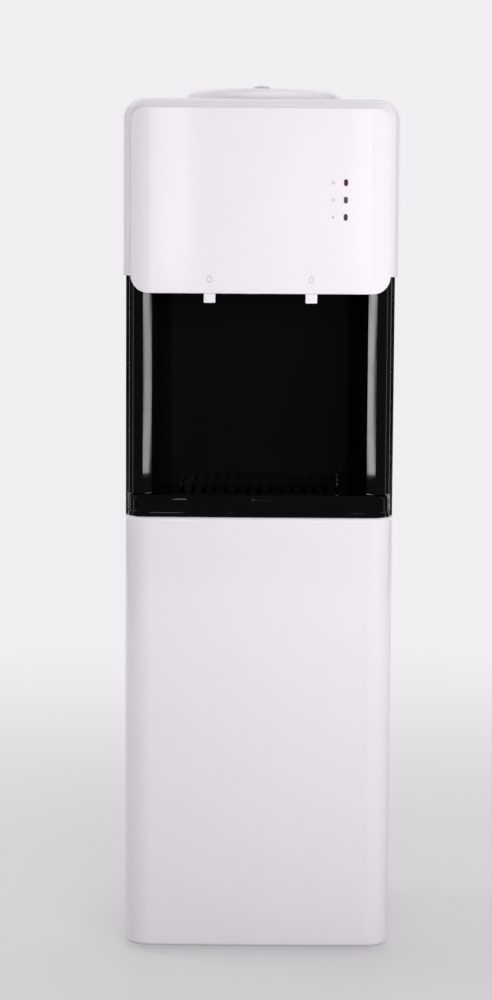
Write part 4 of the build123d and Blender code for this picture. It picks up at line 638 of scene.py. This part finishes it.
class DISPENSER_OT_cooling_machine(bpy.types.Operator):
    """Finish the compressor, the refrigerant lines and the condenser"""

    bl_idname = "dispenser.cooling_machine"
    bl_label = "Cooling Machine"

    def execute(self, context):
        copper = drawn_metal("drawn_copper", "#C07A55", rough=0.3, stretch=(1, 1, 0.1), tarnish=0.2)
        dress(copper, "evaporator_coil", "suction_line", "discharge_line", "filter_drier")
        dress(painted_metal("compressor_paint", "#141415", rough=0.34), "compressor")
        dress(painted_metal("condenser_enamel", "#161617", rough=0.38), "condenser_tube", "condenser_wires")
        dress(moulded_rubber(), "compressor_mounts", "feet", "cord_gland")
        return {"FINISHED"}


class DISPENSER_OT_rear_fittings(bpy.types.Operator):
    """Finish the base, the rear fittings and the fasteners"""

    bl_idname = "dispenser.rear_fittings"
    bl_label = "Rear Fittings"

    def execute(self, context):
        base = grained_plastic("grey_base_polypropylene", linear("#6B6B6E"), rough=0.5)
        dress(base, "base_tray", "drain_pipe")
        trim = grained_plastic("black_fitting_nylon", colours().black_trim, rough=0.38)
        dress(trim, "switch_housings", "heat_switch_rocker", "cool_switch_rocker", "drain_cap")
        dress(trim, "condenser_brackets")
        zinc = drawn_metal("zinc_plated_steel", "#BEBBB0", rough=0.32, stretch=(1, 1, 1), tarnish=0.12)
        dress(zinc, "rear_screws", "compressor_bolts")
        return {"FINISHED"}


class DISPENSER_OT_drop_marks(bpy.types.Operator):
    """Print a drop outline on the head panel over each tap"""

    bl_idname = "dispenser.drop_marks"
    bl_label = "Drop Marks"

    def execute(self, context):
        size = sizes()
        radius = size.drop_width / 2
        tip = size.drop_height - size.drop_width
        ink = printed_ink(colours().print_grey)
        for tap in TAPS:
            low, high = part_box(f"{tap}_push_lever")
            mark = start_disc(f"{tap}_drop_mark", DROP_POINTS, radius)
            select_points(mark, lambda place: place.y > DROP_TOP * radius)
            bpy.ops.transform.translate(
                value=(0, tip, 0),
                use_proportional_edit=True,
                proportional_edit_falloff="SHARP",
                proportional_size=DROP_PULL * radius,
            )
            hollow_out(size.line)
            place_mark(mark, (low.x + high.x) / 2, HEAD_LOW.z + size.drop_rise, size.ink, ink)
        return {"FINISHED"}


class DISPENSER_OT_lamp_marks(bpy.types.Operator):
    """Print a small plain mark beside each indicator lamp"""

    bl_idname = "dispenser.lamp_marks"
    bl_label = "Lamp Marks"

    def execute(self, context):
        size = sizes()
        radius = size.lamp_mark / 2
        ink = bpy.data.materials["printed_ink"]
        for lamp, draw in zip(LAMPS, (self.heating_mark, self.power_mark, self.cooling_mark)):
            low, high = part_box(lamp)
            middle = (low + high) / 2
            mark = draw(lamp.replace("lamp", "mark"), radius, size.line)
            place_mark(mark, middle.x - size.lamp_mark_gap, middle.z, size.ink, ink)
        return {"FINISHED"}

    def heating_mark(self, name, radius, line):
        """Upright bar with round ends and a shorter one each side of it."""
        pitch = BAR_PITCH * line
        reach = BAR_REACH * radius
        bar = start_disc(name, BAR_POINTS, line / 2)
        bpy.ops.mesh.duplicate_move(TRANSFORM_OT_translate={"value": (pitch, 0, 0)})
        bpy.ops.mesh.duplicate_move(TRANSFORM_OT_translate={"value": (-2 * pitch, 0, 0)})
        select_points(bar, lambda place: place.y > 0)
        bpy.ops.transform.translate(value=(0, reach, 0))
        select_points(bar, lambda place: place.y <= 0)
        bpy.ops.transform.translate(value=(0, -reach, 0))
        select_points(bar, lambda place: abs(place.x) < line)
        bpy.ops.transform.resize(value=(1, MIDDLE_BAR_STRETCH, 1))
        return bar

    def power_mark(self, name, radius, line):
        """Ring."""
        ring = start_disc(name, RING_POINTS, RING_RADIUS * radius)
        hollow_out(line)
        return ring

    def cooling_mark(self, name, radius, line):
        """Six-armed star, which is solid and needs no line width."""
        star = start_disc(name, 2 * STAR_ARMS, radius)
        turns = [math.tau * arm / STAR_ARMS for arm in range(STAR_ARMS)]
        arms = [Vector((math.cos(turn), math.sin(turn), 0)) for turn in turns]
        select_points(star, lambda place: max(place.dot(arm) for arm in arms) < STAR_TIP * radius)
        bpy.ops.transform.resize(value=(STAR_NOTCH, STAR_NOTCH, 1))
        return star


def glow_material(name, tint, strength):
    """Material that only gives light."""
    material = bpy.data.materials.new(name)
    tree = blank_tree(material)
    glow = node(tree, "ShaderNodeEmission", {"Color": (*tint, 1), "Strength": strength})
    node(tree, "ShaderNodeOutputMaterial", {"Surface": glow.outputs["Emission"]})
    return material


def seen_share(tree):
    """Socket that is 1 for what the camera sees, directly, mirrored or through clear material, and else 0."""
    path = node(tree, "ShaderNodeLightPath").outputs
    share = path["Is Camera Ray"]
    for ray in ("Is Glossy Ray", "Is Transmission Ray"):
        share = node(tree, "ShaderNodeMath", {0: share, 1: path[ray]}, operation="MAXIMUM").outputs["Value"]
    return share


def only_mirrored(obj):
    """Let an object of the studio show in reflections and nowhere else."""
    obj.visible_camera = False
    obj.visible_diffuse = False
    obj.visible_shadow = False
    obj.visible_transmission = False


def facing(place, aim):
    """Rotation of a lamp that stands at one place and shines at another."""
    return (Vector(aim) - Vector(place)).to_track_quat("-Z", "Y").to_euler()


class DISPENSER_OT_stage(bpy.types.Operator):
    """Set the floor, the dark cards, the lamps, the world and the camera"""

    bl_idname = "dispenser.stage"
    bl_label = "Studio Stage"

    def execute(self, context):
        self.floor()
        self.cards()
        self.lamps()
        self.world(context.scene)
        self.camera(context.scene)
        context.scene.view_settings.view_transform = "Standard"
        return {"FINISHED"}

    def floor(self):
        """Wide pale floor that runs out into the background."""
        bpy.ops.object.select_all(action="DESELECT")
        bpy.ops.mesh.primitive_circle_add(vertices=FLOOR_POINTS, radius=FLOOR_RADIUS, fill_type="NGON")
        floor = bpy.context.object
        floor.name = "studio_floor"
        material = bpy.data.materials.new("studio_floor_paint")
        tree = blank_tree(material)
        place = node(tree, "ShaderNodeTexCoord").outputs["Object"]
        away = node(tree, "ShaderNodeVectorMath", {0: place}, operation="LENGTH").outputs["Value"]
        fade = node(
            tree,
            "ShaderNodeMapRange",
            {"Value": away, "From Min": FADE_NEAR, "From Max": FADE_FAR, "To Min": FADE_LEAST},
            interpolation_type="SMOOTHSTEP",
        ).outputs["Result"]
        share = node(tree, "ShaderNodeMath", {0: seen_share(tree), 1: fade}, operation="MULTIPLY")
        paint = node(tree, "ShaderNodeBsdfDiffuse", {"Color": (*colours().floor, 1)})
        tint = (*colours().backdrop, 1)
        glow = node(tree, "ShaderNodeEmission", {"Color": tint, "Strength": BACKGROUND_SEEN})
        mix = node(
            tree,
            "ShaderNodeMixShader",
            {0: share.outputs["Value"], 1: paint.outputs["BSDF"], 2: glow.outputs["Emission"]},
        )
        node(tree, "ShaderNodeOutputMaterial", {"Surface": mix.outputs["Shader"]})
        floor.data.materials.append(material)

    def card(self, name, cloth, place, size, tilt=90, turn=0):
        """Dark card that only shows in reflections, tilted and turned in degrees."""
        bpy.ops.object.select_all(action="DESELECT")
        turned = (math.radians(tilt), 0, math.radians(turn))
        bpy.ops.mesh.primitive_plane_add(size=1, location=place, rotation=turned)
        card = bpy.context.object
        card.name = name
        card.scale = (*size, 1)
        card.data.materials.append(cloth)
        only_mirrored(card)

    def cards(self):
        """Dark cards round the front, so that the gloss black stays black."""
        cloth = glow_material("dark_card", linear("#F0F0FF"), CARD_GLOW)
        self.card("front_card", cloth, place=(0, -3.4, CARD_MIDDLE), size=(5.2, CARD_HEIGHT))
        self.card("top_card", cloth, place=(0, -1.4, 3.0), size=(5.2, 4.0), tilt=0)
        for side, way in SIDES:
            out = CARD_OUT * way
            front = (out, -1.535, CARD_MIDDLE)
            rear = (out, 1.75, CARD_MIDDLE)
            column = (0.5 * way, -0.35, 0.6)
            self.card(f"{side}_side_card", cloth, place=front, size=(3.73, CARD_HEIGHT), turn=90)
            self.card(f"{side}_rear_card", cloth, place=rear, size=(2.4, CARD_HEIGHT), turn=90)
            self.card(f"{side}_column_card", cloth, place=column, size=(0.2, 0.5), turn=90)

    def lamp(self, name, place, aim, size, radiance, mirrored=False):
        """Rectangular softbox that lights the object, or one that only shows mirrored in its gloss."""
        bpy.ops.object.light_add(type="AREA", location=place)
        lamp = bpy.context.object
        lamp.name = name
        lamp.rotation_euler = facing(place, aim)
        lamp.data.shape = "RECTANGLE"
        lamp.data.size, lamp.data.size_y = size
        lamp.data.energy = WATTS_PER_RADIANCE * radiance * size[0] * size[1]
        lamp.visible_camera = False
        lamp.visible_diffuse = not mirrored
        lamp.visible_glossy = mirrored

    def lamps(self):
        """Boxes in front, above, behind and at the sides, strips for the head and lights for the bay."""
        self.lamp("key_softbox", place=(0.48, -1.5, 0.88), aim=(0, 0, 0.84), size=(1.2, 0.6), radiance=7.1)
        self.lamp("top_softbox", place=(0, 0.6, 2.4), aim=(0, 0.05, 1.0), size=(1.2, 1.0), radiance=3.2)
        self.lamp("rear_softbox", place=(0, 2.1, 1.3), aim=(0, 0.1, 0.6), size=(1.4, 1.2), radiance=3.8)
        self.strip("left_strip", x=-0.275, width=0.104, radiance=2.1)
        self.strip("right_strip", x=0.334, width=0.052, radiance=1.6)
        for side, way in SIDES:
            place = (1.6 * way, 0.4, 1.2)
            fill = SIDE_BOX_RADIANCE[side]
            self.lamp(f"{side}_side_box", place, aim=(0, 0, 0.85), size=(1, 1), radiance=fill)
            self.bay_light(f"{side}_bay_light", way, BAY_LIGHT_SHIFT[side], BAY_LIGHT_RADIANCE[side])

    def strip(self, name, x, width, radiance):
        """Upright strip that shows as a soft band in the gloss of the head."""
        place = (x, STRIP_FRONT, STRIP_MIDDLE)
        aim = (x, 0, STRIP_MIDDLE)
        self.lamp(name, place, aim, (width, STRIP_HEIGHT), radiance, mirrored=True)

    def bay_light(self, name, way, shift, radiance):
        """Slim bowed light that shows only as a soft stripe in the black strip across the bay."""
        bpy.ops.object.select_all(action="DESELECT")
        bpy.ops.mesh.primitive_circle_add(vertices=BAY_LIGHT_POINTS, radius=BAY_LIGHT_RADIUS)
        light = bpy.context.object
        light.name = name
        bpy.ops.object.mode_set(mode="EDIT")
        bpy.ops.mesh.select_mode(type="VERT")
        select_points(light, lambda place: place.x < 0 or abs(place.y) > BAY_LIGHT_HEIGHT / 2)
        bpy.ops.mesh.delete(type="VERT")
        bpy.ops.mesh.select_all(action="SELECT")
        bpy.ops.transform.translate(value=(shift - BAY_LIGHT_RADIUS - BAY_LIGHT_WIDTH / 2, 0, 0))
        bpy.ops.mesh.extrude_region_move(TRANSFORM_OT_translate={"value": (BAY_LIGHT_WIDTH, 0, 0)})
        bpy.ops.object.mode_set(mode="OBJECT")
        place = (BAY_LIGHT_OUT * way, BAY_LIGHT_FRONT, BAY_MIDDLE)
        light.location = place
        light.rotation_euler = facing(place, aim=(-BAY_STRIP_OUT * way, BAY_STRIP_FRONT, BAY_MIDDLE))
        light.scale = (way, 1, 1)
        light.data.materials.append(glow_material(name, linear("#FFFFFF"), radiance))
        only_mirrored(light)

    def world(self, scene):
        """Pale background for what is seen, softer light for what is lit."""
        world = bpy.data.worlds.new("studio_world")
        scene.world = world
        tree = blank_tree(world)
        tint = (*colours().backdrop, 1)
        seen = node(tree, "ShaderNodeBackground", {"Color": tint, "Strength": BACKGROUND_SEEN})
        lit = node(tree, "ShaderNodeBackground", {"Color": tint, "Strength": BACKGROUND_LIT})
        mix = node(
            tree,
            "ShaderNodeMixShader",
            {0: seen_share(tree), 1: lit.outputs["Background"], 2: seen.outputs["Background"]},
        )
        node(tree, "ShaderNodeOutputWorld", {"Surface": mix.outputs["Shader"]})

    def camera(self, scene):
        """Camera at the photograph's angle: from the front, a little above the bay, looking slightly down."""
        bpy.ops.object.camera_add(location=(0, -sizes().camera_distance, sizes().camera_height))
        camera = bpy.context.object
        camera.name = "photo_camera"
        pitch = Matrix.Rotation(math.radians(90 - CAMERA_PITCH), 3, "X")
        roll = Matrix.Rotation(math.radians(CAMERA_ROLL), 3, "Z")
        camera.rotation_euler = (pitch @ roll).to_euler()
        camera.data.lens = CAMERA_LENS
        camera.data.sensor_width = CAMERA_SENSOR
        camera.data.shift_x = CAMERA_SHIFT
        scene.camera = camera


PIECES = (
    DISPENSER_OT_white_covers,
    DISPENSER_OT_black_bay,
    DISPENSER_OT_column_edges,
    DISPENSER_OT_indicators,
    DISPENSER_OT_taps,
    DISPENSER_OT_tap_springs,
    DISPENSER_OT_tanks,
    DISPENSER_OT_cooling_machine,
    DISPENSER_OT_rear_fittings,
    DISPENSER_OT_drop_marks,
    DISPENSER_OT_lamp_marks,
    DISPENSER_OT_stage,
)


class DISPENSER_PT_looks(bpy.types.Panel):
    """Sidebar list of the dispenser's finishes and marks"""

    bl_idname = "DISPENSER_PT_looks"
    bl_label = "Water Dispenser"
    bl_space_type = "VIEW_3D"
    bl_region_type = "UI"
    bl_category = "Dispenser"

    def draw(self, context):
        for group in (context.scene.dispenser_colours, context.scene.dispenser_sizes):
            box = self.layout.box()
            for key in group.bl_rna.properties.keys():
                if key not in ("rna_type", "name"):
                    box.prop(group, key)
        for piece in PIECES:
            self.layout.operator(piece.bl_idname)


CLASSES = (DispenserColours, DispenserSizes, *PIECES, DISPENSER_PT_looks)


def register():
    """Register the classes and the scene's settings."""
    for cls in CLASSES:
        bpy.utils.register_class(cls)
    bpy.types.Scene.dispenser_colours = PointerProperty(type=DispenserColours)
    bpy.types.Scene.dispenser_sizes = PointerProperty(type=DispenserSizes)


def unregister():
    """Remove the settings and the classes."""
    del bpy.types.Scene.dispenser_sizes
    del bpy.types.Scene.dispenser_colours
    for cls in reversed(CLASSES):
        bpy.utils.unregister_class(cls)


def main():
    """Build the looks in order."""
    register()
    for piece in PIECES:
        group, name = piece.bl_idname.split(".")
        getattr(getattr(bpy.ops, group), name)()


if __name__ == "__main__":
    main()
